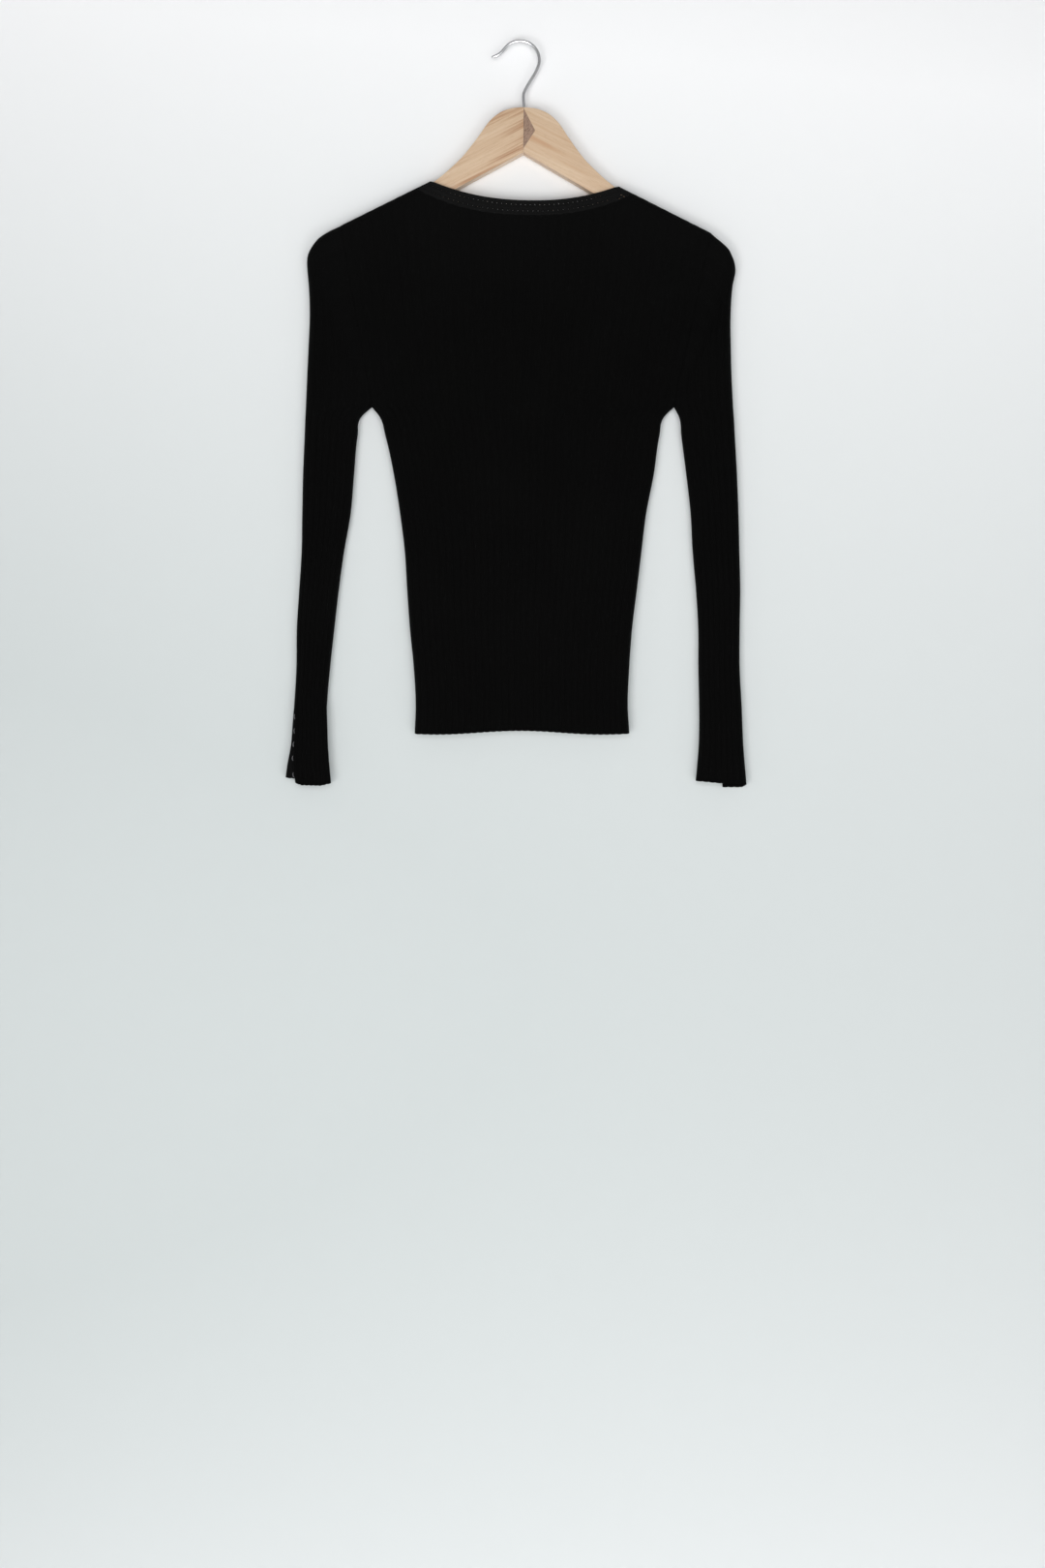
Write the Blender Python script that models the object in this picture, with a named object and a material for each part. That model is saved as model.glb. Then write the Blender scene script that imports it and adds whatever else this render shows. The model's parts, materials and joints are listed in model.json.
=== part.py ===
"""A fine rib-knit sweater with long sleeves, hanging by its shoulders on a wooden hanger.

Metres, +Z up. The origin is where the inside of the hook's crown bears on whatever holds it.
The back of the sweater faces -Y. +X is to the right of someone who looks at the back, and
"left" and "right" below are that viewer's, which are also the wearer's own.

The knit is a wall WALL thick. Its near cloth (face -1, the back) and far cloth (face +1, the
front) meet at the side seams, shoulder seams and sleeve folds, and are parted inside by the
hanger. Every point of the cloth comes from its place (x, z) in the plane of the garment and
from its distance to the nearest of those folds, over which the cloth rolls round.
"""

import math

import bmesh
import bpy
import numpy as np

WALL = 0.0013  # thickness of the knit
SEAM = 0.0003  # gap between two pieces that are sewn together
LEFT, RIGHT = -1, 1
NEAR, FAR = -1, 1

# Ribs. Columns of points run up the valleys (even) and the crests (odd) of the ribs.
PANEL_RIBS = 34
LAST_COLUMN = 2 * PANEL_RIBS
SLEEVE_RIBS = 16
RIB_RISE = 0.0008
SHOULDER_BUMP = 0.0005  # how far a rib stands out of the line of the shoulder seam

# Points (x, z) where the shoulder seam meets the neck and the sleeve, and of the armpits.
NECK_POINT = {LEFT: np.array((-0.0959, -0.1469)), RIGHT: np.array((0.1056, -0.1525))}
SHOULDER_TIP = {LEFT: np.array((-0.1890, -0.1930)), RIGHT: np.array((0.2015, -0.2009))}
ARMPIT = {LEFT: np.array((-0.1560, -0.3840)), RIGHT: np.array((0.1622, -0.3840))}

# The neck: the columns of a panel between which the neckband runs, and how far the edge dips.
NECK_COLUMNS = {LEFT: 14, RIGHT: 53}
BAND_WIDTH = 0.0155
BAND_RISE = 0.0004
BACK_NECK = {"dip": 0.0185, "power": 2.2}
FRONT_NECK = {"dip": 0.0620, "power": 2.4}
FOOT_POWER = 0.2  # how much more power the band's lower edge has than its upper edge
TOP_GUESS = -0.17  # a height near the tops of the panels, where the search for them starts
SEARCH_STEPS = 12

HEM = -0.7265
HEM_WAVE = 0.0020
HEM_WAVE_LENGTH = 0.175
SEAM_REACH = 1.3 * WALL  # how far an edge's inner points are drawn in at an armpit or shoulder tip


def table(names, *rows):
    """The columns of a table by their names."""
    return dict(zip(names.split(), np.array(rows).T))


# Side seams of the body, from the hem to the armpits.
BODY = table(
    "z left right",
    (-0.7260, -0.1110, 0.1150),
    (-0.7000, -0.1100, 0.1135),
    (-0.6590, -0.1120, 0.1150),
    (-0.6180, -0.1160, 0.1180),
    (-0.5770, -0.1190, 0.1230),
    (-0.5360, -0.1215, 0.1280),
    (-0.4960, -0.1265, 0.1330),
    (-0.4550, -0.1330, 0.1410),
    (-0.4140, -0.1420, 0.1470),
    (-0.3940, -0.1480, 0.1520),
    (-0.3840, -0.1560, 0.1622),
)

# The two folds of each sleeve, from the cuff to the armpit.
SLEEVE = {
    LEFT: table(
        "z outside inside",
        (-0.7820, -0.2480, -0.1985),
        (-0.7610, -0.2452, -0.2005),
        (-0.7400, -0.2414, -0.2021),
        (-0.7200, -0.2398, -0.2027),
        (-0.7000, -0.2383, -0.2033),
        (-0.6590, -0.2359, -0.2003),
        (-0.6180, -0.2355, -0.1959),
        (-0.5770, -0.2330, -0.1912),
        (-0.5360, -0.2304, -0.1855),
        (-0.4960, -0.2297, -0.1785),
        (-0.4550, -0.2288, -0.1749),
        (-0.4140, -0.2271, -0.1711),
        (-0.3940, -0.2263, -0.1672),
        (-0.3840, -0.2258, -0.1560),
    ),
    RIGHT: table(
        "z outside inside",
        (-0.7840, 0.2390, 0.1845),
        (-0.7710, 0.2379, 0.1857),
        (-0.7400, 0.2354, 0.1883),
        (-0.7000, 0.2338, 0.1888),
        (-0.6590, 0.2317, 0.1880),
        (-0.6180, 0.2317, 0.1879),
        (-0.5770, 0.2324, 0.1856),
        (-0.5360, 0.2314, 0.1820),
        (-0.4960, 0.2304, 0.1798),
        (-0.4550, 0.2288, 0.1752),
        (-0.4140, 0.2265, 0.1699),
        (-0.3940, 0.2254, 0.1675),
        (-0.3840, 0.2246, 0.1622),
    ),
}

# The sleeve head: the outside fold goes on up over the hanger's tip to the shoulder tip.
HEAD = {
    LEFT: table(
        "x z",
        (-0.2258, -0.3840),
        (-0.2245, -0.3530),
        (-0.2230, -0.3200),
        (-0.2217, -0.2880),
        (-0.2228, -0.2550),
        (-0.2243, -0.2387),
        (-0.2245, -0.2285),
        (-0.2234, -0.2224),
        (-0.2215, -0.2183),
        (-0.2177, -0.2122),
        (-0.2124, -0.2060),
        (-0.2034, -0.1999),
        (-0.1890, -0.1930),
    ),
    RIGHT: table(
        "x z",
        (0.2246, -0.3840),
        (0.2231, -0.3530),
        (0.2222, -0.3200),
        (0.2220, -0.2880),
        (0.2243, -0.2550),
        (0.2272, -0.2387),
        (0.2259, -0.2305),
        (0.2226, -0.2224),
        (0.2206, -0.2183),
        (0.2149, -0.2122),
        (0.2074, -0.2060),
        (0.2015, -0.2009),
    ),
}

# Half the depth of the garment from the near cloth to the far cloth, and how far from a fold
# or side seam the cloth has rolled round to that depth.
DEPTHS = table(
    "z body sleeve roll",
    (-0.790, 0.0095, 0.0066, 0.0110),
    (-0.700, 0.0085, 0.0066, 0.0120),
    (-0.500, 0.0080, 0.0068, 0.0140),
    (-0.384, 0.0080, 0.0080, 0.0130),
    (-0.260, 0.0086, 0.0086, 0.0080),
    (-0.140, 0.0086, 0.0086, 0.0080),
)

# Soft waves of the whole cloth in and out, which grow from nothing below the armpits.
BODY_WAVES = table("height length phase", (0.0020, 0.190, 0.6), (0.0006, 0.083, 2.1))
SLEEVE_BEND = 0.0016

# Cuffs. A ring position q runs once round the sleeve: 0 at the outside fold, over the near
# cloth to 0.5 at the inside fold, and back over the far cloth to 1. The slit is at q = slit.
# Its upper edge draws back by pull, and strip_past and button_inset are how far under that edge
# the button strip reaches and the buttons' centres lie.
SLIT_TOP = -0.6920
SLIT_OPEN = 0.0110  # height over which the slit's edges part to their full distance
OVERLAP_DEPTH = 0.0066  # half depth of the slit's upper edge, which lies over the buttons
UNDER_DEPTH = 0.0023  # half depth of the button strip under it
UNDER_REACH = 0.0100
STRIP_RAMP = 0.0030  # width of the strip that slopes down from its first edge, and its lift there
STRIP_LIFT = {LEFT: 0.0007, RIGHT: 0.0}
UNDER_HEM_Q = 0.749  # where the right hem is read for the slit's lower edge, before its step
CUFF = {
    LEFT: {
        "slit": 0.0,
        "pull": table(
            "z x",
            (-0.784, 0.0125),
            (-0.778, 0.0110),
            (-0.771, 0.0086),
            (-0.754, 0.0052),
            (-0.740, 0.0036),
            (-0.726, 0.0033),
            (-0.710, 0.0024),
            (-0.692, 0.0),
        ),
        "strip_past": 0.0070,
        "button_inset": 0.0030,
        "hem": table(
            "q z",
            (0.00, -0.7780),
            (0.08, -0.7820),
            (0.35, -0.7825),
            (0.50, -0.7800),
            (0.75, -0.7770),
            (1.00, -0.7740),
        ),
    },
    RIGHT: {
        "slit": 0.75,
        "pull": table("z x", (-0.784, 0.0022), (-0.692, 0.0)),
        "strip_past": 0.0120,
        "button_inset": 0.0056,
        "hem": table(
            "q z",
            (0.000, -0.7815),
            (0.250, -0.7800),
            (0.500, -0.7775),
            (0.749, -0.7770),
            (0.750, -0.7840),
            (0.950, -0.7840),
            (1.000, -0.7815),
        ),
    },
}
STRIP_TOP = -0.7035
BUTTON_HEIGHTS = (-0.7100, -0.7250, -0.7395, -0.7540, -0.7710)
BUTTON_RADIUS = 0.0045
BUTTON_THICK = 0.0024
BUTTON_RINGS = ((1.0, 0.0), (1.0, 0.40), (0.65, 1.0))  # parts of its radius and thickness
BUTTON_SIDES = 12

# Rows of points: heights on the body and the sleeves, and steps down from a panel's top edge.
PANEL_ROWS = (
    HEM, -0.700, -0.660, -0.620, -0.580, -0.540, -0.500, -0.455, -0.420,
    -0.398, -0.384, -0.372, -0.345, -0.310, -0.270,
)
TOP_STEPS = (0.0160, 0.0070, 0.0025, 0.0)
SLEEVE_ROWS = (
    -0.780, -0.765, -0.745, -0.724, -0.703, -0.697, SLIT_TOP, -0.655, -0.615,
    -0.575, -0.535, -0.495, -0.455, -0.420, -0.398, -0.384,
)
HEAD_ROWS = (0.0, 0.18, 0.36, 0.54, 0.70, 0.78, 0.84, 0.90, 0.95, 1.0)  # parts of the way up
# Columns between ribs, where the neckband rolls over the shoulder seams.
ROLL_COLUMNS = (NECK_COLUMNS[LEFT] + 0.45, NECK_COLUMNS[RIGHT] - 0.45)
PANEL_COLUMNS = np.array(sorted([*range(LAST_COLUMN + 1), *ROLL_COLUMNS]))
INNER_COLUMNS = np.array(sorted([
    0, 1, 2, 6, 10, 14, 15, 16, 18, 22, 26, 30, 34, 38, 42, 46, 50, 51, 52, 53, 57, 61, 64,
    66, 67, 68, *ROLL_COLUMNS,
]))
BAND_ROWS = 4
# A column of points close to the sleeve's outside fold, so that the fold stays round where the
# ribs spread: its distance from the fold up to the armpit, and at the shoulder tip.
FOLD_COLUMN = (0.0017, 0.0038)
FOLD_STEP = 1e-6  # how far round from the fold it counts as, so as to lie on the near or far side
FOLD_CREST = 0.4

# The hanger: two arms glued end to end, in its own frame, whose origin is the top of the joint.
HANGER_TOP = (0.0042, -0.0695)
HANGER_TILT = math.radians(0.9)
HANGER_THICK = 0.012
HANGER_ROUNDING = 0.0045
JOINT_DEPTH = 0.0474
ARM_CREST = table(
    "x z",
    (0.0000, 0.0000),
    (0.0145, -0.0018),
    (0.0265, -0.0070),
    (0.0375, -0.0170),
    (0.0460, -0.0294),
    (0.0540, -0.0405),
    (0.0630, -0.0521),
    (0.0730, -0.0623),
    (0.0850, -0.0733),
    (0.0989, -0.0842),
)
ARM_SLOPE = math.radians(26.6)
TIP_CENTRE_X = 0.2015
TIP_RADIUS = 0.0110

# The hook: bent from one steel wire.
WIRE_RADIUS = 0.0019
STEM_X = 0.0043
STEM_FOOT = -0.0880
STEM_HOLE_RADIUS = 0.0023
STEM_HOLE_LENGTH = 0.030  # from its foot to above the arms
STEM_HOLE_SIDES = 16
CROWN_RADIUS = 0.0203
HOOK_LEAD = ((STEM_X, -0.0695), (0.0045, -0.0520), (0.0074, -0.0464), (0.0175, -0.0287))
HOOK_ARC = (-10, 140)
HOOK_END = ((-0.0193, -0.0098), (-0.0235, -0.0132), (-0.0300, -0.0153))
HOOK_POINTS = 38


# ---------------------------------------------------------------- materials and objects


def clear_scene():
    for obj in list(bpy.data.objects):
        bpy.data.objects.remove(obj)


def material(name, colour, roughness, metallic=0.0):
    """A Principled material, its colour given as linear red, green and blue."""
    made = bpy.data.materials.new(name)
    made.use_nodes = True
    shader = made.node_tree.nodes["Principled BSDF"]
    shader.inputs["Base Color"].default_value = (*colour, 1.0)
    shader.inputs["Roughness"].default_value = roughness
    shader.inputs["Metallic"].default_value = metallic
    made.diffuse_color = (*colour, 1.0)
    return made


def add_object(name, data, surface):
    data.materials.append(surface)
    obj = bpy.data.objects.new(name, data)
    bpy.context.scene.collection.objects.link(obj)
    return obj


def add_solid(name, points, faces, surface):
    """A closed mesh of these points and faces, its normals turned outwards, shaded smooth."""
    mesh = bpy.data.meshes.new(name)
    mesh.from_pydata([tuple(float(v) for v in point) for point in points], [], faces)
    shape = bmesh.new()
    shape.from_mesh(mesh)
    bmesh.ops.recalc_face_normals(shape, faces=shape.faces)
    shape.to_mesh(mesh)
    shape.free()
    mesh.shade_smooth()
    mesh.set_sharp_from_angle(angle=math.radians(50))
    return add_object(name, mesh, surface)


# ---------------------------------------------------------------- the outline of the garment


def smooth(at, knots, values):
    """A cubic curve through a table's points."""
    at = np.asarray(at, float)
    slopes = np.gradient(values, knots)
    i = np.clip(np.searchsorted(knots, at) - 1, 0, len(knots) - 2)
    step = knots[i + 1] - knots[i]
    t = (at - knots[i]) / step
    start, end = values[i], values[i + 1]
    rise = t * t * (3 - 2 * t)
    bend = t * (1 - t) * ((1 - t) * slopes[i] - t * slopes[i + 1]) * step
    return start + (end - start) * rise + bend


def ease(t):
    t = np.clip(t, 0.0, 1.0)
    return t * t * (3 - 2 * t)


def seam_x(side, z):
    """x of a panel's edge: the side seam, and above the armpit the straight armhole seam."""
    edge = BODY["left" if side == LEFT else "right"]
    run = SHOULDER_TIP[side] - ARMPIT[side]
    above = ARMPIT[side][0] + (z - ARMPIT[side][1]) * run[0] / run[1]
    return np.where(z >= ARMPIT[side][1], above, smooth(z, BODY["z"], edge))


def panel_x(column, z):
    """x of a column of a panel at height z: the ribs fan out from the hem to the shoulders."""
    left, right = seam_x(LEFT, z), seam_x(RIGHT, z)
    return left + (right - left) * column / LAST_COLUMN


def shoulder_z(side, x):
    run = SHOULDER_TIP[side] - NECK_POINT[side]
    return NECK_POINT[side][1] + (x - NECK_POINT[side][0]) * run[1] / run[0]


def band_end(side):
    """The point where the neckband's lower edge meets the shoulder seam, on a column of ribs."""
    z = NECK_POINT[side][1]
    for _ in range(SEARCH_STEPS):
        z = float(shoulder_z(side, panel_x(NECK_COLUMNS[side], z)))
    return np.array((float(panel_x(NECK_COLUMNS[side], z)), z))


BAND_END = {side: band_end(side) for side in (LEFT, RIGHT)}


def hanging_line(x, ends, dip, power):
    """A neckline: it hangs between two points by dip, flatter in the middle with more power."""
    (x0, z0), (x1, z1) = ends[LEFT], ends[RIGHT]
    across = np.clip((2 * x - x0 - x1) / (x1 - x0), -1.0, 1.0)
    return z0 + (z1 - z0) * (x - x0) / (x1 - x0) - dip * (1 - np.abs(across) ** power)


def neck_edge_z(x, neck):
    return hanging_line(x, NECK_POINT, neck["dip"], neck["power"])


def band_foot_z(x, neck):
    """The neckband's lower edge, a band's width below its upper edge in the middle."""
    drop = sum(NECK_POINT[s][1] - BAND_END[s][1] for s in (LEFT, RIGHT)) / 2
    return hanging_line(x, BAND_END, neck["dip"] + BAND_WIDTH - drop, neck["power"] + FOOT_POWER)


def panel_top_z(column, neck):
    """Height of the top of each column: on the shoulder seams, or at the neckband's foot."""
    z = np.full(np.shape(column), TOP_GUESS)
    for _ in range(SEARCH_STEPS):
        x = panel_x(column, z)
        z = np.where(
            column <= NECK_COLUMNS[LEFT],
            shoulder_z(LEFT, x),
            np.where(column >= NECK_COLUMNS[RIGHT], shoulder_z(RIGHT, x), band_foot_z(x, neck)),
        )
    return z


def head_point(side, part):
    """A point of the sleeve head's fold, at a part of its length from the armpit's height up."""
    x, z = HEAD[side]["x"], HEAD[side]["z"]
    length = np.concatenate([[0.0], np.cumsum(np.hypot(np.diff(x), np.diff(z)))])
    at = np.asarray(part) * length[-1]
    return np.stack([smooth(at, length, x), smooth(at, length, z)], axis=-1)


def fold_line_points():
    """The lines where near and far cloth meet, each as a row of points."""
    lines = []
    body_heights = np.linspace(HEM - 0.01, ARMPIT[LEFT][1], 44)
    sleeve_heights = np.linspace(-0.80, ARMPIT[LEFT][1], 44)
    for side in (LEFT, RIGHT):
        folds = SLEEVE[side]
        lines.append(np.stack([seam_x(side, body_heights), body_heights], axis=-1))
        for fold in ("outside", "inside"):
            across = smooth(sleeve_heights, folds["z"], folds[fold])
            lines.append(np.stack([across, sleeve_heights], axis=-1))
        lines.append(head_point(side, np.linspace(0, 1, 60)))
        lines.append(np.array([SHOULDER_TIP[side], NECK_POINT[side]]))
    return lines


FOLD_STARTS = np.concatenate([line[:-1] for line in fold_line_points()])
FOLD_ENDS = np.concatenate([line[1:] for line in fold_line_points()])


def fold_distance(x, z):
    """Distance in the plane of the garment to the nearest line where near and far cloth meet."""
    point = np.stack([x, z], axis=-1)[..., None, :] - FOLD_STARTS
    run = FOLD_ENDS - FOLD_STARTS
    along = np.clip((point * run).sum(-1) / (run**2).sum(-1), 0.0, 1.0)
    return np.linalg.norm(point - along[..., None] * run, axis=-1).min(axis=-1)


def roll(t):
    """A quarter round: 0 at the fold, 1 where the cloth is flat."""
    t = np.clip(t, 0.0, 1.0)
    return np.sqrt(t * (2 - t))


def half_depths(x, z, kind, on_fold):
    """Half the garment's depth to the outer and to the inner face of the cloth."""
    full = np.interp(z, DEPTHS["z"], DEPTHS[kind])
    reach = np.interp(z, DEPTHS["z"], DEPTHS["roll"])
    away = np.where(on_fold, 0.0, fold_distance(x, z))
    outer = full * roll(away / reach)
    inner = (full - WALL) * roll((away - WALL) / (reach - WALL))
    return outer, inner, full


def wave(x, z, kind):
    """How far the middle of the garment's depth lies from y = 0."""
    below = ARMPIT[LEFT][1] - z
    if kind == "sleeve":
        return SLEEVE_BEND * np.sin(math.pi * np.clip(below / 0.40, 0.0, 1.0)) ** 2
    waves = sum(
        height * np.sin(2 * math.pi * x / length + phase)
        for height, length, phase in zip(*BODY_WAVES.values())
    )
    return ease(below / 0.32) * waves


# ---------------------------------------------------------------- walls of cloth


def strip(first, first_at, second, second_at):
    """Triangles between two rows of points, whose places along the rows start together."""
    faces = []
    i = j = 0
    while i < len(first) - 1 or j < len(second) - 1:
        step_first = j == len(second) - 1 or (
            i < len(first) - 1 and first_at[i + 1] <= second_at[j + 1]
        )
        if step_first:
            faces.append((first[i], first[i + 1], second[j]))
            i += 1
        else:
            faces.append((first[i], second[j + 1], second[j]))
            j += 1
    return faces


def grid_shell(outer, inner, at, inner_at):
    """Points and faces of a wall from its outer grid and an inner grid of fewer columns.

    at and inner_at are the two grids' columns, and inner holds a point for each of at."""
    rows, columns = outer.shape[:2]
    inner = inner[:, np.isin(at, inner_at)]
    outer_ids = np.arange(rows * columns).reshape(rows, columns)
    inner_ids = outer_ids.size + np.arange(rows * len(inner_at)).reshape(rows, -1)
    faces = []
    for row in range(rows - 1):
        faces += strip(outer_ids[row], at, outer_ids[row + 1], at)
        faces += strip(inner_ids[row], inner_at, inner_ids[row + 1], inner_at)
    for row in (0, rows - 1):
        faces += strip(outer_ids[row], at, inner_ids[row], inner_at)
    for column in (0, -1):
        height = np.arange(rows)
        faces += strip(outer_ids[:, column], height, inner_ids[:, column], height)
    points = np.concatenate([outer.reshape(-1, 3), inner.reshape(-1, 3)])
    return points, [tuple(int(v) for v in face) for face in faces]


def unit(vector):
    return vector / np.linalg.norm(vector)


def shoulder_inward(side):
    """The direction in the garment's plane from the shoulder seam into the cloth."""
    run = unit(NECK_POINT[side] - SHOULDER_TIP[side])
    return np.array((run[1], -run[0])) if side == LEFT else np.array((-run[1], run[0]))


def armhole_up(side):
    return unit(SHOULDER_TIP[side] - ARMPIT[side])


def crest_height(column):
    """0 in a rib's valley, 1 on its crest."""
    return 1 - np.abs(np.asarray(column) % 2 - 1)


def panel_places(column, neck):
    """The places (x, z) of a panel's points, row by row from the hem up."""
    top = panel_top_z(column, neck)
    rows = [np.full(len(column), height) for height in PANEL_ROWS]
    hem_x = panel_x(column, HEM)
    rows[0] = HEM + HEM_WAVE * np.cos(2 * math.pi * hem_x / HEM_WAVE_LENGTH)
    rows.append((PANEL_ROWS[-1] + top - TOP_STEPS[0]) / 2)
    rows += [top - step for step in TOP_STEPS]
    z = np.array(rows)
    return panel_x(column, z), z


def add_panel(name, face, neck, surface):
    """The back or the front: 34 ribs wide, hem to shoulders, open at the neck and armholes."""
    column = PANEL_COLUMNS
    x, z = panel_places(column, neck)
    last = len(column) - 1
    crest = crest_height(column)
    on_shoulder = (column <= NECK_COLUMNS[LEFT]) | (column >= NECK_COLUMNS[RIGHT])
    bumped = (column < NECK_COLUMNS[LEFT]) | (column > NECK_COLUMNS[RIGHT])
    on_fold = np.zeros(x.shape, bool)
    on_fold[-1] = on_shoulder
    pull = np.zeros((*x.shape, 2))
    for side, edge in ((LEFT, 0), (RIGHT, last)):
        low = z[:, edge] <= ARMPIT[side][1]
        on_fold[low, edge] = True
        pull[low, edge] = (-side * WALL, 0.0)
        pull[PANEL_ROWS.index(ARMPIT[side][1]), edge] = SEAM_REACH * armhole_up(side)
        shoulder = on_shoulder & ((column < LAST_COLUMN / 2) == (side == LEFT))
        pull[-1, shoulder] = WALL * shoulder_inward(side)
        pull[-1, edge] = -SEAM_REACH * armhole_up(side)
        x[z[:, edge] >= ARMPIT[side][1], edge] -= side * SEAM / 2
    outer, inner, _ = half_depths(x, z, "body", on_fold)
    outer_y = np.maximum(outer, SEAM / 2) + np.where(on_fold, 0.0, RIB_RISE * crest)
    outer_z = z.copy()
    outer_z[-1] += SHOULDER_BUMP * crest * bumped
    inner_x, inner_z = x + pull[..., 0], z + pull[..., 1]
    inner_y = np.maximum(inner, SEAM / 2)
    middle, inner_middle = wave(x, z, "body"), wave(inner_x, inner_z, "body")
    outer_points = np.stack([x, middle + face * outer_y, outer_z], axis=-1)
    inner_points = np.stack([inner_x, inner_middle + face * inner_y, inner_z], axis=-1)
    points, faces = grid_shell(outer_points, inner_points, column, INNER_COLUMNS)
    return add_solid(name, points, faces, surface)


def add_neckband(name, face, neck, surface):
    """The trim along the neck edge, from one shoulder seam to the other, on a panel's points."""
    first, last = NECK_COLUMNS[LEFT], NECK_COLUMNS[RIGHT]
    column = PANEL_COLUMNS[(PANEL_COLUMNS >= first) & (PANEL_COLUMNS <= last)]
    foot_z = panel_top_z(column, neck)
    foot = np.stack([panel_x(column, foot_z), foot_z], axis=-1)
    part = (foot[:, 0] - BAND_END[LEFT][0]) / (BAND_END[RIGHT][0] - BAND_END[LEFT][0])
    edge_x = NECK_POINT[LEFT][0] + part * (NECK_POINT[RIGHT][0] - NECK_POINT[LEFT][0])
    edge = np.stack([edge_x, neck_edge_z(edge_x, neck)], axis=-1)
    width = np.linalg.norm(edge - foot, axis=-1)
    rows = [
        foot + (edge - foot) * np.maximum(row / (BAND_ROWS - 1), 1.2 * SEAM / width)[:, None]
        for row in range(BAND_ROWS)
    ]
    place = np.array(rows)
    on_fold = np.zeros(place.shape[:2], bool)
    on_fold[:, [0, -1]] = True
    pull = np.zeros(place.shape)
    pull[:, 0] = WALL * shoulder_inward(LEFT)
    pull[:, -1] = WALL * shoulder_inward(RIGHT)
    outer, inner, _ = half_depths(place[..., 0], place[..., 1], "body", on_fold)
    outer_y = np.maximum(outer, SEAM / 2) + np.where(on_fold, 0.0, BAND_RISE)
    inner_y = np.maximum(inner, SEAM / 2)
    inner_place = place + pull
    outer_points = np.stack([place[..., 0], face * outer_y, place[..., 1]], axis=-1)
    inner_points = np.stack([inner_place[..., 0], face * inner_y, inner_place[..., 1]], axis=-1)
    inner_column = INNER_COLUMNS[(INNER_COLUMNS >= first) & (INNER_COLUMNS <= last)]
    points, faces = grid_shell(outer_points, inner_points, column, inner_column)
    return add_solid(name, points, faces, surface)


# ---------------------------------------------------------------- sleeves


def slit_open(z):
    """0 at the top of the cuff slit and above, 1 where its edges have parted."""
    return ease((SLIT_TOP - z) / SLIT_OPEN)


def slit_pull(side, z):
    """How far the slit's upper edge has drawn back at height z."""
    pull = CUFF[side]["pull"]
    return np.interp(z, pull["z"], pull["x"])


def ring_columns(side):
    """(q, part of the width or None near the fold, crest height) of each column, from the slit."""
    count = 2 * SLEEVE_RIBS
    slit = CUFF[side]["slit"]
    columns = []
    for i in range(count + 1):
        q = slit + i / count
        q = q - 1 if q > 1 else q
        on_outside_fold = q in (0.0, 1.0)
        if on_outside_fold and i > 0:
            columns.append((1 - FOLD_STEP, None, FOLD_CREST))
        columns.append((q, 1 - abs(1 - 2 * q), i % 2))
        if on_outside_fold and i < count:
            columns.append((FOLD_STEP, None, FOLD_CREST))
    return columns


def column_places(side, q, width_part, slit_side):
    """Places (x, z) of one sleeve column from the cuff up, and their order for joining."""
    folds = SLEEVE[side]
    hem = CUFF[side]["hem"]
    hem_q = UNDER_HEM_Q if side == RIGHT and slit_side == "under" else q
    z = np.array(SLEEVE_ROWS)
    z[0] = np.interp(hem_q, hem["q"], hem["z"])
    near = q <= 0.5
    outside = smooth(z, folds["z"], folds["outside"])
    inside = smooth(z, folds["z"], folds["inside"])
    by_fold = FOLD_COLUMN[0] / np.abs(inside - outside)
    part = by_fold if width_part is None else np.full(len(z), width_part)
    if side == LEFT and near and slit_side != "under":
        outside = outside + slit_pull(side, z)
    if side == RIGHT and q >= 0.75 and slit_side != "under":
        shift = slit_pull(side, z) * part / 0.5
        part = part - shift / np.abs(outside - inside)
    low = np.stack([outside + part * (inside - outside), z], axis=-1)
    most = len(HEAD_ROWS) - 1
    if width_part == 1:
        count = 0  # the inside fold ends at the armpit
    else:
        count = max(1, round(most * (1 - (width_part or 0))))
    steps = np.arange(1, count + 1) / max(count, 1)
    way = np.interp(steps * most, np.arange(most + 1), HEAD_ROWS)
    fold = head_point(side, way)
    if width_part is None:
        along = fold - head_point(side, way - 0.01)
        along /= np.linalg.norm(along, axis=1)[:, None]
        span = ARMPIT[side] - fold
        away = np.abs(span[:, 0] * along[:, 1] - span[:, 1] * along[:, 0])
        part = (FOLD_COLUMN[0] + way * (FOLD_COLUMN[1] - FOLD_COLUMN[0])) / away
    else:
        part = np.full(count, width_part)
    high = (1 - part[:, None]) * fold + part[:, None] * ARMPIT[side]
    if count:
        high[-1, 0] += side * SEAM / 2
    else:
        low[-1, 0] += side * SEAM / 2
    order = np.concatenate([np.arange(len(z)), len(z) - 1 + way])
    return np.concatenate([low, high]), order


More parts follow.
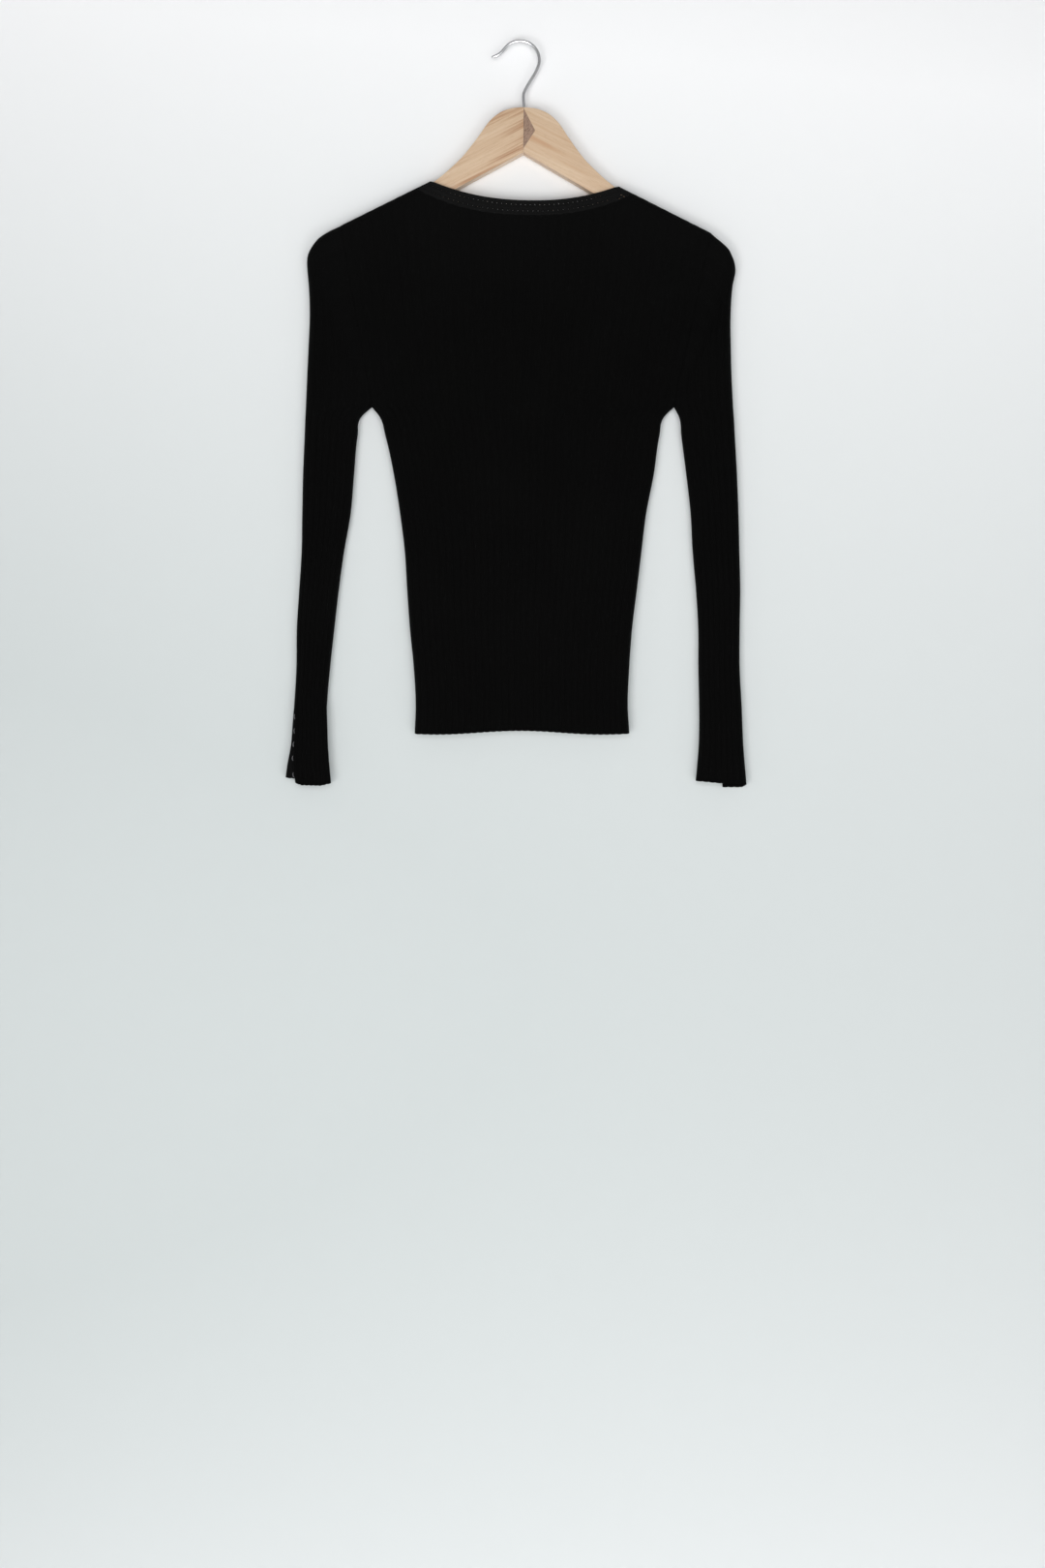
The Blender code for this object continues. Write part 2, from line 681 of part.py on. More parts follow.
def column_points(side, q, width_part, crest, slit_side):
    """Outer and inner points of one sleeve column, and their order for joining."""
    place, order = column_places(side, q, width_part, slit_side)
    x, z = place[:, 0], place[:, 1]
    face = NEAR if q <= 0.5 else FAR
    fold = width_part in (0.0, 1.0)
    outer, inner, full = half_depths(x, z, "sleeve", np.full(len(x), fold))
    opened = slit_open(z)
    pull = np.zeros((len(x), 2))
    if fold:
        inward = -side if width_part == 0 else side
        pull[:, 0] = inward * WALL
        head = z > ARMPIT[side][1]
        if width_part == 0:
            run = np.gradient(place[head], axis=0)
            run /= np.linalg.norm(run, axis=1)[:, None]
            pull[head] = WALL * np.stack([-side * run[:, 1], side * run[:, 0]], axis=-1)
            pull[-1] = -SEAM_REACH * armhole_up(side)
        else:
            pull[-1] = SEAM_REACH * armhole_up(side)
    if side == LEFT and face == NEAR and slit_side != "under":
        outer = outer + opened * (OVERLAP_DEPTH - outer)
        inner = inner + opened * (OVERLAP_DEPTH - WALL - inner)
        pull *= (1 - opened)[:, None]
    if side == RIGHT and face == FAR and q <= 0.75 and slit_side != "upper":
        slit_x = column_places(side, 0.75, 0.5, "under")[0][: len(x), 0]
        reach = len(slit_x)
        near_slit = np.zeros(len(x))
        near_slit[:reach] = ease(1 - (np.abs(x[:reach] - slit_x) - 0.001) / UNDER_REACH)
        dip = opened * near_slit
        outer = outer + dip * (UNDER_DEPTH - outer)
        inner = inner + dip * (UNDER_DEPTH - WALL - inner)
    inner_x, inner_z = x + pull[:, 0], z + pull[:, 1]
    rise = 0.0 if fold else RIB_RISE * crest
    outer_y = wave(x, z, "sleeve") + face * (outer + rise)
    inner_y = wave(inner_x, inner_z, "sleeve") + face * inner
    return (
        np.stack([x, outer_y, z], axis=-1),
        np.stack([inner_x, inner_y, inner_z], axis=-1),
        order,
    )


def add_sleeve(name, side, surface):
    """One knitted tube, from the armhole seam to a cuff that is slit and open at its end."""
    columns = ring_columns(side)
    slit_row = SLEEVE_ROWS.index(SLIT_TOP)
    points, outer_ids, inner_ids, orders = [], [], [], []
    for number, (q, width_part, crest) in enumerate(columns):
        slit_side = {0: "upper", len(columns) - 1: "under"}.get(number)
        outer, inner, order = column_points(side, q, width_part, crest, slit_side)
        closing = number == len(columns) - 1
        for rows, ids in ((outer, outer_ids), (inner, inner_ids)):
            own = rows[:slit_row] if closing else rows
            ids.append(list(range(len(points), len(points) + len(own))))
            points.extend(own)
            if closing:
                ids[-1] += ids[0][slit_row:]
        orders.append(order)
    faces = []
    for ids in (outer_ids, inner_ids):
        for number in range(len(columns) - 1):
            faces += strip(
                ids[number], orders[number], ids[number + 1], orders[number + 1]
            )
    ends = range(len(columns))
    for row in (0, -1):
        faces += strip(
            [ids[row] for ids in outer_ids], ends, [ids[row] for ids in inner_ids], ends
        )
    for number in (0, -1):
        height = range(slit_row + 1)
        faces += strip(
            outer_ids[number][: slit_row + 1], height, inner_ids[number][: slit_row + 1], height
        )
    return add_solid(name, points, faces, surface)


def strip_edges(side, z):
    """x of the button strip's two edges, and of the slit's upper edge that covers it."""
    slit = CUFF[side]["slit"]
    part = 0.0 if side == LEFT else 0.5
    under = column_places(side, slit or 1.0, part, "under")[0][: len(SLEEVE_ROWS)]
    upper = column_places(side, slit, part, "upper")[0][: len(SLEEVE_ROWS)]
    start = np.interp(z, under[:, 1], under[:, 0])
    cover = np.interp(z, upper[:, 1], upper[:, 0])
    return start, cover + CUFF[side]["strip_past"], cover


def add_placket(name, side, surface):
    """The strip under the cuff slit that the buttons are sewn to."""
    face = NEAR if side == LEFT else FAR
    hem = CUFF[side]["hem"]
    foot = float(np.interp(1.0 if side == LEFT else UNDER_HEM_Q, hem["q"], hem["z"]))
    heights = np.array([foot] + [h for h in SLEEVE_ROWS[1:] if h < STRIP_TOP] + [STRIP_TOP])
    start, end, _ = strip_edges(side, heights)
    depth = UNDER_DEPTH - np.array((STRIP_LIFT[side], 0.0, 0.0))
    outer_rows, inner_rows = [], []
    for z, x0, x1 in zip(heights, start, end):
        first = x0 if side == LEFT else x0 + SEAM
        across = np.array((first, first + STRIP_RAMP, x1))
        middle = wave(across, np.full(3, z), "sleeve")
        outer_rows.append(np.stack([across, middle + face * depth, np.full(3, z)], axis=-1))
        inner_rows.append(
            np.stack([across, middle + face * (depth - WALL), np.full(3, z)], axis=-1)
        )
    across = np.arange(3)
    points, faces = grid_shell(np.array(outer_rows), np.array(inner_rows), across, across)
    return add_solid(name, points, faces, surface)


def add_button(name, side, z, surface):
    """A small domed button on the strip, half under the slit's upper edge."""
    face = NEAR if side == LEFT else FAR
    _, _, cover = strip_edges(side, z)
    x = float(cover) + CUFF[side]["button_inset"]
    y = float(wave(x, z, "sleeve")) + face * (UNDER_DEPTH + SEAM)
    points = [(0.0, 0.0, 0.0)]
    for across, up in BUTTON_RINGS:
        for i in range(BUTTON_SIDES):
            turn = 2 * math.pi * i / BUTTON_SIDES
            points.append(
                (
                    BUTTON_RADIUS * across * math.cos(turn),
                    face * BUTTON_THICK * up,
                    BUTTON_RADIUS * across * math.sin(turn),
                )
            )
    faces = [tuple(range(len(points) - BUTTON_SIDES, len(points)))]
    for i in range(BUTTON_SIDES):
        after = (i + 1) % BUTTON_SIDES
        faces.append((0, 1 + i, 1 + after))
        for ring in range(len(BUTTON_RINGS) - 1):
            low, high = 1 + ring * BUTTON_SIDES, 1 + (ring + 1) * BUTTON_SIDES
            faces.append((low + i, low + after, high + after, high + i))
    obj = add_solid(name, points, faces, surface)
    obj.location = (x, y, z)
    return obj


# ---------------------------------------------------------------- the hanger


def arm_outline():
    """One arm's outline in the hanger's frame: crest, shoulder, round tip and lower edge."""
    crest_x = ARM_CREST["x"]
    xs = np.concatenate([[0.0, 0.007], np.arange(0.0145, 0.0960, 0.0075), crest_x[-1:]])
    points = [(x, float(smooth(x, crest_x, ARM_CREST["z"]))) for x in xs]
    last_x, last_z = crest_x[-1], ARM_CREST["z"][-1]
    centre_z = last_z - (TIP_CENTRE_X - last_x) * math.tan(ARM_SLOPE)
    centre_z -= TIP_RADIUS / math.cos(ARM_SLOPE)
    foot_z = -JOINT_DEPTH
    reach = math.hypot(TIP_CENTRE_X, centre_z - foot_z)
    lower_slope = math.atan2(foot_z - centre_z, TIP_CENTRE_X) + math.asin(TIP_RADIUS / reach)
    start, end = math.pi / 2 - ARM_SLOPE, -math.pi / 2 - lower_slope
    for turn in np.linspace(start, end, 9):
        points.append(
            (
                TIP_CENTRE_X + TIP_RADIUS * math.cos(turn),
                centre_z + TIP_RADIUS * math.sin(turn),
            )
        )
    points.append((0.0, foot_z))
    return points


def add_arm(name, side, surface):
    """One arm: a flat board of its outline with rounded edges, square at the joint."""
    shape = bmesh.new()
    corners = [
        shape.verts.new((side * max(x, SEAM / 2), -HANGER_THICK / 2, z)) for x, z in arm_outline()
    ]
    board = shape.faces.new(corners)
    grown = bmesh.ops.extrude_face_region(shape, geom=[board])
    moved = [item for item in grown["geom"] if isinstance(item, bmesh.types.BMVert)]
    bmesh.ops.translate(shape, verts=moved, vec=(0.0, HANGER_THICK, 0.0))
    rim = [
        edge
        for edge in shape.edges
        if abs(edge.verts[0].co.y - edge.verts[1].co.y) < 1e-6
        and max(abs(vert.co.x) for vert in edge.verts) > SEAM
    ]
    bmesh.ops.bevel(
        shape, geom=rim, offset=HANGER_ROUNDING, segments=3, profile=0.5, affect="EDGES",
        clamp_overlap=True,
    )
    bmesh.ops.recalc_face_normals(shape, faces=shape.faces)
    mesh = bpy.data.meshes.new(name)
    shape.to_mesh(mesh)
    shape.free()
    mesh.shade_smooth()
    mesh.set_sharp_from_angle(angle=math.radians(40))
    obj = add_object(name, mesh, surface)
    obj.location = (HANGER_TOP[0], 0.0, HANGER_TOP[1])
    obj.rotation_euler = (0.0, HANGER_TILT, 0.0)
    return obj


def add_stem_hole(arms, surface):
    """Bores the hole for the hook's stem down the joint between the two arms."""
    mesh = bpy.data.meshes.new("stem_hole")
    shape = bmesh.new()
    bmesh.ops.create_cone(
        shape, cap_ends=True, segments=STEM_HOLE_SIDES, radius1=STEM_HOLE_RADIUS,
        radius2=STEM_HOLE_RADIUS, depth=STEM_HOLE_LENGTH,
    )
    shape.to_mesh(mesh)
    shape.free()
    cutter = add_object("stem_hole", mesh, surface)
    cutter.location = (STEM_X, 0.0, STEM_FOOT - SEAM + STEM_HOLE_LENGTH / 2)
    cutter.hide_render = True
    cutter.display_type = "WIRE"
    for arm in arms:
        cut = arm.modifiers.new("stem hole", "BOOLEAN")
        cut.operation = "DIFFERENCE"
        cut.solver = "EXACT"
        cut.object = cutter


def hook_route():
    """The wire's centre line (x, z): stem, neck, crown and turned-out end."""
    arc = [
        (
            CROWN_RADIUS * math.cos(math.radians(turn)),
            WIRE_RADIUS - CROWN_RADIUS + CROWN_RADIUS * math.sin(math.radians(turn)),
        )
        for turn in np.linspace(*HOOK_ARC, 11)
    ]
    way = np.array([*HOOK_LEAD, *arc, *HOOK_END])
    length = np.concatenate([[0.0], np.cumsum(np.linalg.norm(np.diff(way, axis=0), axis=1))])
    at = np.linspace(0.0, length[-1], HOOK_POINTS)
    bent = np.stack([smooth(at, length, way[:, 0]), smooth(at, length, way[:, 1])], axis=-1)
    return [(STEM_X, STEM_FOOT), *bent]


def add_hook(name, surface):
    curve = bpy.data.curves.new(name, "CURVE")
    curve.dimensions = "3D"
    curve.bevel_depth = WIRE_RADIUS
    curve.bevel_resolution = 2
    curve.use_fill_caps = True
    route = hook_route()
    line = curve.splines.new("POLY")
    line.points.add(len(route) - 1)
    for point, (x, z) in zip(line.points, route):
        point.co = (x, 0.0, z, 1.0)
    return add_object(name, curve, surface)


# ---------------------------------------------------------------- the whole


def main():
    clear_scene()
    knit = material("black_rib_knit", (0.0040, 0.0040, 0.0042), 0.95)
    trim = material("black_trim_knit", (0.0045, 0.0045, 0.0048), 0.90)
    wood = material("pale_beech", (0.62, 0.41, 0.23), 0.50)
    steel = material("polished_steel", (0.60, 0.60, 0.60), 0.25, 1.0)
    button = material("dark_button", (0.010, 0.010, 0.011), 0.20)

    add_panel("back", NEAR, BACK_NECK, knit)
    add_panel("front", FAR, FRONT_NECK, knit)
    add_neckband("neckband_back", NEAR, BACK_NECK, trim)
    add_neckband("neckband_front", FAR, FRONT_NECK, trim)
    for side, word in ((LEFT, "left"), (RIGHT, "right")):
        add_sleeve(f"sleeve_{word}", side, knit)
        add_placket(f"placket_{word}", side, trim)
        for number, height in enumerate(BUTTON_HEIGHTS, 1):
            add_button(f"button_{word}_{number}", side, height, button)
    arms = [
        add_arm("hanger_arm_left", LEFT, wood),
        add_arm("hanger_arm_right", RIGHT, wood),
    ]
    add_stem_hole(arms, wood)
    add_hook("hanger_hook", steel)


main()
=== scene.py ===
"""The looks of a black rib-knit sweater that hangs on a wooden hanger, over its CAD solids.

Metres, +Z up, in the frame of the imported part: the origin is where the hook's crown bears, the
back of the sweater faces -Y and the camera looks along +Y. "left" and "right" are those of
someone who looks at the back. The cloth is drawn finer than the solids, from the same sizes.
"""

import json
import math

import bmesh
import bpy
import numpy as np
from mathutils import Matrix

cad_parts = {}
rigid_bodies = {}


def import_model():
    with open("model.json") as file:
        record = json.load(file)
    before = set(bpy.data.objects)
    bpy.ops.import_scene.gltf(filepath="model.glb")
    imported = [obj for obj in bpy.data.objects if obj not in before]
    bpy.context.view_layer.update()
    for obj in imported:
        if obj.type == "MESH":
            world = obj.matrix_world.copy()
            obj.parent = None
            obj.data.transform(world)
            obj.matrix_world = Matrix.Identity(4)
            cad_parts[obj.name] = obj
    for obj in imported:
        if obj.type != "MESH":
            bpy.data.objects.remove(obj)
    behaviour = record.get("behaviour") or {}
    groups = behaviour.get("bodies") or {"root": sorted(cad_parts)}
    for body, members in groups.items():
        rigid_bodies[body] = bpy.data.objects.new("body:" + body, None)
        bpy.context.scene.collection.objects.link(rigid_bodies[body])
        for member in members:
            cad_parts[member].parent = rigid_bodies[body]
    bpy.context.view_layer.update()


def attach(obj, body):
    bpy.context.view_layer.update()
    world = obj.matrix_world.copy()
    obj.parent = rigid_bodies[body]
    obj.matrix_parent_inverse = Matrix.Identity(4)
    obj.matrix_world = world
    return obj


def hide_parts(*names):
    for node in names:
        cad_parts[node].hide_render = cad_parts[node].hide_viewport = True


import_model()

WALL = 0.0013  # thickness of the knit
SEAM = 0.0003  # gap between two pieces that are sewn together
LEFT, RIGHT = -1, 1
NEAR, FAR = -1, 1  # the cloth that faces the camera, and the cloth behind it
SIDES = ((LEFT, "left"), (RIGHT, "right"))

# ---------------------------------------------------------------- sizes shared with the solids

PANEL_RIBS = 34
LAST_COLUMN = 2 * PANEL_RIBS  # columns count half ribs: even in the valleys, odd on the crests
SLEEVE_RIBS = 16
RIB_RISE = 0.0009  # from a valley to a crest
RIB_START = 4  # the ribs rise over a quarter of the way that the cloth rolls round from a fold
SHOULDER_BUMP = 0.0005  # how far each rib lifts the shoulder seam
HEM_BUMP = 0.0005  # how far each rib draws the hems down
SEAM_REACH = 1.3 * WALL  # how far the inner face stays from the ends of a seam

# Points (x, z) where the seams end.
NECK_POINT = {LEFT: np.array((-0.0959, -0.1469)), RIGHT: np.array((0.1056, -0.1525))}
SHOULDER_TIP = {LEFT: np.array((-0.1890, -0.1930)), RIGHT: np.array((0.2015, -0.2009))}
ARMPIT = {LEFT: np.array((-0.1560, -0.3840)), RIGHT: np.array((0.1622, -0.3840))}

NECK_COLUMNS = {LEFT: 14, RIGHT: 53}  # the panels' columns at the neckband's two ends
BAND_WIDTH = 0.0155
BAND_RISE = 0.0004  # how far the trim stands out from the cloth's valleys
BACK_NECK = {"dip": 0.0185, "power": 2.2}
FRONT_NECK = {"dip": 0.0620, "power": 2.4}
FOOT_POWER = 0.2  # how much flatter the band's foot hangs than its edge
TOP_GUESS = -0.17  # where the search for a panel's top edge starts
SEARCH_STEPS = 12

HEM = -0.7265
HEM_WAVE = 0.0020
HEM_WAVE_LENGTH = 0.175


def table(names, *rows):
    """The columns of a table by their names."""
    return dict(zip(names.split(), np.array(rows).T))


# Side seams of the body, from the hem to the armpits.
BODY = table(
    "z left right",
    (-0.7260, -0.1110, 0.1150),
    (-0.7000, -0.1100, 0.1135),
    (-0.6590, -0.1120, 0.1150),
    (-0.6180, -0.1160, 0.1180),
    (-0.5770, -0.1190, 0.1230),
    (-0.5360, -0.1215, 0.1280),
    (-0.4960, -0.1265, 0.1330),
    (-0.4550, -0.1330, 0.1410),
    (-0.4140, -0.1420, 0.1470),
    (-0.3940, -0.1480, 0.1520),
    (-0.3840, -0.1560, 0.1622),
)

# The two folds of each sleeve, from the cuff to the armpit.
SLEEVE = {
    LEFT: table(
        "z outside inside",
        (-0.7820, -0.2480, -0.1985),
        (-0.7610, -0.2452, -0.2005),
        (-0.7400, -0.2414, -0.2021),
        (-0.7200, -0.2398, -0.2027),
        (-0.7000, -0.2383, -0.2033),
        (-0.6590, -0.2359, -0.2003),
        (-0.6180, -0.2355, -0.1959),
        (-0.5770, -0.2330, -0.1912),
        (-0.5360, -0.2304, -0.1855),
        (-0.4960, -0.2297, -0.1785),
        (-0.4550, -0.2288, -0.1749),
        (-0.4140, -0.2271, -0.1711),
        (-0.3940, -0.2263, -0.1672),
        (-0.3840, -0.2258, -0.1560),
    ),
    RIGHT: table(
        "z outside inside",
        (-0.7840, 0.2390, 0.1845),
        (-0.7710, 0.2379, 0.1857),
        (-0.7400, 0.2354, 0.1883),
        (-0.7000, 0.2338, 0.1888),
        (-0.6590, 0.2317, 0.1880),
        (-0.6180, 0.2317, 0.1879),
        (-0.5770, 0.2324, 0.1856),
        (-0.5360, 0.2314, 0.1820),
        (-0.4960, 0.2304, 0.1798),
        (-0.4550, 0.2288, 0.1752),
        (-0.4140, 0.2265, 0.1699),
        (-0.3940, 0.2254, 0.1675),
        (-0.3840, 0.2246, 0.1622),
    ),
}

# The sleeve head: the outside fold goes on up over the hanger's tip to the shoulder tip.
HEAD = {
    LEFT: table(
        "x z",
        (-0.2258, -0.3840),
        (-0.2245, -0.3530),
        (-0.2230, -0.3200),
        (-0.2217, -0.2880),
        (-0.2228, -0.2550),
        (-0.2243, -0.2387),
        (-0.2245, -0.2285),
        (-0.2234, -0.2224),
        (-0.2215, -0.2183),
        (-0.2177, -0.2122),
        (-0.2124, -0.2060),
        (-0.2034, -0.1999),
        (-0.1890, -0.1930),
    ),
    RIGHT: table(
        "x z",
        (0.2246, -0.3840),
        (0.2231, -0.3530),
        (0.2222, -0.3200),
        (0.2220, -0.2880),
        (0.2243, -0.2550),
        (0.2272, -0.2387),
        (0.2259, -0.2305),
        (0.2226, -0.2224),
        (0.2206, -0.2183),
        (0.2149, -0.2122),
        (0.2074, -0.2060),
        (0.2015, -0.2009),
    ),
}

# Half the depth of the garment from the near cloth to the far cloth, and how far from a fold
# or side seam the cloth has rolled round to that depth.
DEPTHS = table(
    "z body sleeve roll",
    (-0.790, 0.0095, 0.0066, 0.0110),
    (-0.700, 0.0085, 0.0066, 0.0120),
    (-0.500, 0.0080, 0.0068, 0.0140),
    (-0.384, 0.0080, 0.0080, 0.0130),
    (-0.260, 0.0086, 0.0086, 0.0080),
    (-0.140, 0.0086, 0.0086, 0.0080),
)

# Soft waves of the whole cloth in and out, which grow from nothing below the armpits.
BODY_WAVES = table("height length phase", (0.0020, 0.190, 0.6), (0.0006, 0.083, 2.1))
WAVES_GROWN = 0.32  # how far below the armpits they have their full height
SLEEVE_BEND = 0.0016  # how far the sleeves bend towards the far side at the elbow
SLEEVE_BEND_LENGTH = 0.40

# Cuffs. q runs once round the sleeve: 0 at the outside fold, over the near cloth to 0.5 at the
# inside fold, and back over the far cloth to 1. The slit is at q = slit.
SLIT_TOP = -0.6920
SLIT_OPEN = 0.0110  # length over which the slit's edges part
OVERLAP_DEPTH = 0.0066  # half depth of the cuff's upper edge
UNDER_DEPTH = 0.0023  # half depth of its under edge and of the button strip
UNDER_REACH = 0.0100  # how far from the slit the under edge is pressed in
SLIT_LIP = 0.001  # how far from the slit it lies flat
STRIP_RAMP = 0.0030  # width over which the button strip comes up from its sewn edge
STRIP_LIFT = {LEFT: 0.0007, RIGHT: 0.0}  # how much deeper that edge lies
STRIP_RIBS = 4
STRIP_RIB_RISE = 0.00025
UNDER_HEM_Q = 0.749  # where the right hem's table has the slit's under edge
RIGHT_SLIT = {"q": 0.75, "part": 0.5}  # half way across the far cloth
# For each cuff: how far the slit's upper edge has drawn back at each height, how far the button
# strip and the buttons' middles reach past that edge, and the height of the hem round the cuff.
CUFF = {
    LEFT: {
        "slit": 0.0,
        "pull": table(
            "z x",
            (-0.784, 0.0125),
            (-0.778, 0.0110),
            (-0.771, 0.0086),
            (-0.754, 0.0052),
            (-0.740, 0.0036),
            (-0.726, 0.0033),
            (-0.710, 0.0024),
            (-0.692, 0.0),
        ),
        "strip_past": 0.0070,
        "button_inset": 0.0030,
        "hem": table(
            "q z",
            (0.00, -0.7795),
            (0.08, -0.7820),
            (0.35, -0.7825),
            (0.50, -0.7800),
            (0.75, -0.7770),
            (1.00, -0.7740),
        ),
    },
    RIGHT: {
        "slit": RIGHT_SLIT["q"],
        "pull": table("z x", (-0.784, 0.0022), (-0.692, 0.0)),
        "strip_past": 0.0120,
        "button_inset": 0.0056,
        "hem": table(
            "q z",
            (0.000, -0.7815),
            (0.250, -0.7800),
            (0.500, -0.7775),
            (0.749, -0.7770),
            (0.750, -0.7840),
            (0.950, -0.7840),
            (1.000, -0.7815),
        ),
    },
}
STRIP_TOP = -0.7035
BUTTON_HEIGHTS = (-0.7100, -0.7250, -0.7395, -0.7540, -0.7710)
BUTTON_RADIUS = 0.0045
BUTTON_THICK = 0.0024
# Rings from a button's edge to its middle: how far in, and how far up.
BUTTON_RINGS = (
    (0.0004, 0.0),
    (0.0003, -0.0002),
    (0.0008, 0.0007),
    (0.0012, 0.0004),
    (0.0011, 0.0001),
)
BUTTON_RIM = 0.0006  # width of its metal rim
BUTTON_BEVEL = 0.00016
DISC_SHARE = 0.45  # the part of its thickness below its rings

# The hanger. Its arms have a frame of their own: x from the joint along an arm, z from the
# middle of the hanger's top, which sits at HANGER_TOP and leans by HANGER_TILT.
HANGER_TOP = (0.0042, -0.0695)
HANGER_TILT = math.radians(0.9)
HANGER_THICK = 0.012
HANGER_ROUNDING = 0.0026
JOINT_DEPTH = 0.0474
ARM_CREST = table(
    "x z",
    (0.0000, 0.0000),
    (0.0145, -0.0018),
    (0.0265, -0.0070),
    (0.0375, -0.0170),
    (0.0460, -0.0294),
    (0.0540, -0.0405),
    (0.0630, -0.0521),
    (0.0730, -0.0623),
    (0.0850, -0.0733),
    (0.0989, -0.0842),
)
ARM_SLOPE = math.radians(26.6)
TIP_CENTRE_X = 0.2015
TIP_RADIUS = 0.0110
TIP_SHORT = 0.002  # how far before the middle of the tip its rounding starts

# The hook's wire: straight from its foot in the wood, then by the lead to the crown's arc (in
# degrees) and out to its free end.
WIRE_RADIUS = 0.0019
STEM_X = 0.0043
STEM_FOOT = -0.0880
CROWN_RADIUS = 0.0203
HOOK_LEAD = ((STEM_X, -0.0695), (0.0045, -0.0520), (0.0074, -0.0464), (0.0175, -0.0287))
HOOK_ARC = (-10, 140)
HOOK_END = ((-0.0193, -0.0098), (-0.0235, -0.0132), (-0.0300, -0.0153))

# ---------------------------------------------------------------- how fine the pieces are drawn

FINE = 4  # steps from a rib's valley to its crest
RIB_ROUNDNESS = 0.75  # under 1, the ribs are full with narrow valleys
SEWN = 0.00003  # gap between two sewn edges that would let light through if it were SEAM wide

FOLD_POINTS = 44  # points along each side seam and sleeve fold, from just below the hems up
FOLD_FEET = {"body": HEM - 0.01, "sleeve": -0.80}
HEAD_POINTS = 60  # points along each sleeve head's fold
AT_A_TIME = 2000  # places whose distance to the folds is measured at once, to spare memory

ROW_STEP = 0.0040
ROWS_LEVEL_TO = -0.270
TOP_ROWS = 34  # rows from there up to a panel's top edge
TOP_CLOSING = 1.6  # over 1, they lie closer towards the edge

SLIT_ROW = 22  # rows from a cuff's hem to the top of its slit
HEM_ROWS = 5  # the first of them, which even out the hem's slope
SLEEVE_HEIGHTS = np.concatenate([
    np.linspace(-0.780, SLIT_TOP, SLIT_ROW + 1),
    np.linspace(SLIT_TOP, ARMPIT[LEFT][1], 78)[1:],
])
HEAD_STEPS = 44  # rows up the sleeve head's fold
HEAD_CLOSING = 1.3  # over 1, they lie closer towards the shoulder tip
STRIP_ROWS = 30
STRIP_COLUMNS = 24

BAND_CELL = 0.00046  # size of the neckband's cells along it
BAND_LEVELS = 34  # cells from its foot to its upper edge
BAND_LAP = 0.00012  # how far its foot is sewn over the panel's edge, so that no light gets through
BAND_POINTS = 240  # points by which its length is measured
EYELET_RADII = {1: 0.00050, 2: 0.00095}  # by how many cells it reaches each way
EYELET_STEP = 12  # cells from one eyelet to the next
EYELET_ROWS = ((10, 0), (24, 6))  # cells below the upper edge, and shift along the band
EYELET_MARGINS = (14, 40)  # cells left whole at the left end and the right end
# The eyelets in the right end: level, cells from that end, and reach. The hanger's arm pulls
# the last ones wide.
END_EYELETS = ((10, 32, 1), (10, 20, 1), (24, 26, 2), (30, 38, 2), (30, 26, 2), (30, 14, 2))
# The yarn round an eyelet: how far it stands out, how wide it is, and how many widths away.
EYELET_RIM = {"rise": 0.00028, "width": 0.0004, "away": 0.75}
# Cords of thicker yarn along the band, at their distance below its upper edge.
BAND_CORDS = table(
    "down height width",
    (0.0008, 0.00050, 0.0010),
    (0.0078, 0.00030, 0.0012),
    (0.0143, 0.00035, 0.0011),
)

ARM_STEPS = 72  # steps along an arm's outline
TIP_START = 0.86  # share of them before the round tip
TIP_LEAN = 0.10  # radians by which the tip's two halves start further round its circle
TIP_EASE = 0.7  # under 1, the lean fades late, close to the very end
HOOK_POINTS = 110  # points along the wire, above its stem
HOOK_END_POINTS = 5  # the last of them, over which its end is ground round
HOOK_ARC_POINTS = 11  # points that give the crown's arc

# ---------------------------------------------------------------- marks in the materials

# Heights where the painted sheen on the stretched knit and the wood's darker streaks start, and
# how fast they grow from there, in a metre.
SHOULDER_SHEEN = (-0.30, 7.0)
STREAKED = (-0.125, 22.0)
# Marks in beech: length along the grain, width, and levels of detail. They are growth rings,
# broader bands of colour, and ray flecks, which are drawn twice as long as real ones to show.
BEECH_MARKS = ((0.090, 0.0022, 5.0), (0.130, 0.0085, 3.0), (0.0060, 0.00065, 2.0))
# The end grain that shows at the joint: a half diamond to the right of it.
END_GRAIN = {"top": -0.0712, "middle": -0.0940, "foot": -0.1120, "width": 0.0118}
END_GRAIN_EDGE = 0.0005  # width over which it starts
END_GRAIN_TURN = math.radians(-52)
END_GRAIN_PORES = (0.0035, 0.0007, 3.0)  # its marks, as the others

# ---------------------------------------------------------------- the form of the garment


def smooth(at, knots, values):
    """A cubic curve through a table's points."""
    at = np.asarray(at, float)
    slopes = np.gradient(values, knots)
    i = np.clip(np.searchsorted(knots, at) - 1, 0, len(knots) - 2)
    step = knots[i + 1] - knots[i]
    t = (at - knots[i]) / step
    start, end = values[i], values[i + 1]
    rise = t * t * (3 - 2 * t)
    bend = t * (1 - t) * ((1 - t) * slopes[i] - t * slopes[i + 1]) * step
    return start + (end - start) * rise + bend


def ease(t):
    """From 0 at t = 0 to 1 at t = 1, level at both ends."""
    t = np.clip(t, 0.0, 1.0)
    return t * t * (3 - 2 * t)


def seam_x(side, z):
    """x of a panel's edge: the side seam, and above the armpit the straight armhole seam."""
    edge = BODY["left" if side == LEFT else "right"]
    run = SHOULDER_TIP[side] - ARMPIT[side]
    above = ARMPIT[side][0] + (z - ARMPIT[side][1]) * run[0] / run[1]
    return np.where(z >= ARMPIT[side][1], above, smooth(z, BODY["z"], edge))


def panel_x(column, z):
    """x of a column of a panel at height z: the ribs fan out from the hem to the shoulders."""
    left, right = seam_x(LEFT, z), seam_x(RIGHT, z)
    return left + (right - left) * column / LAST_COLUMN


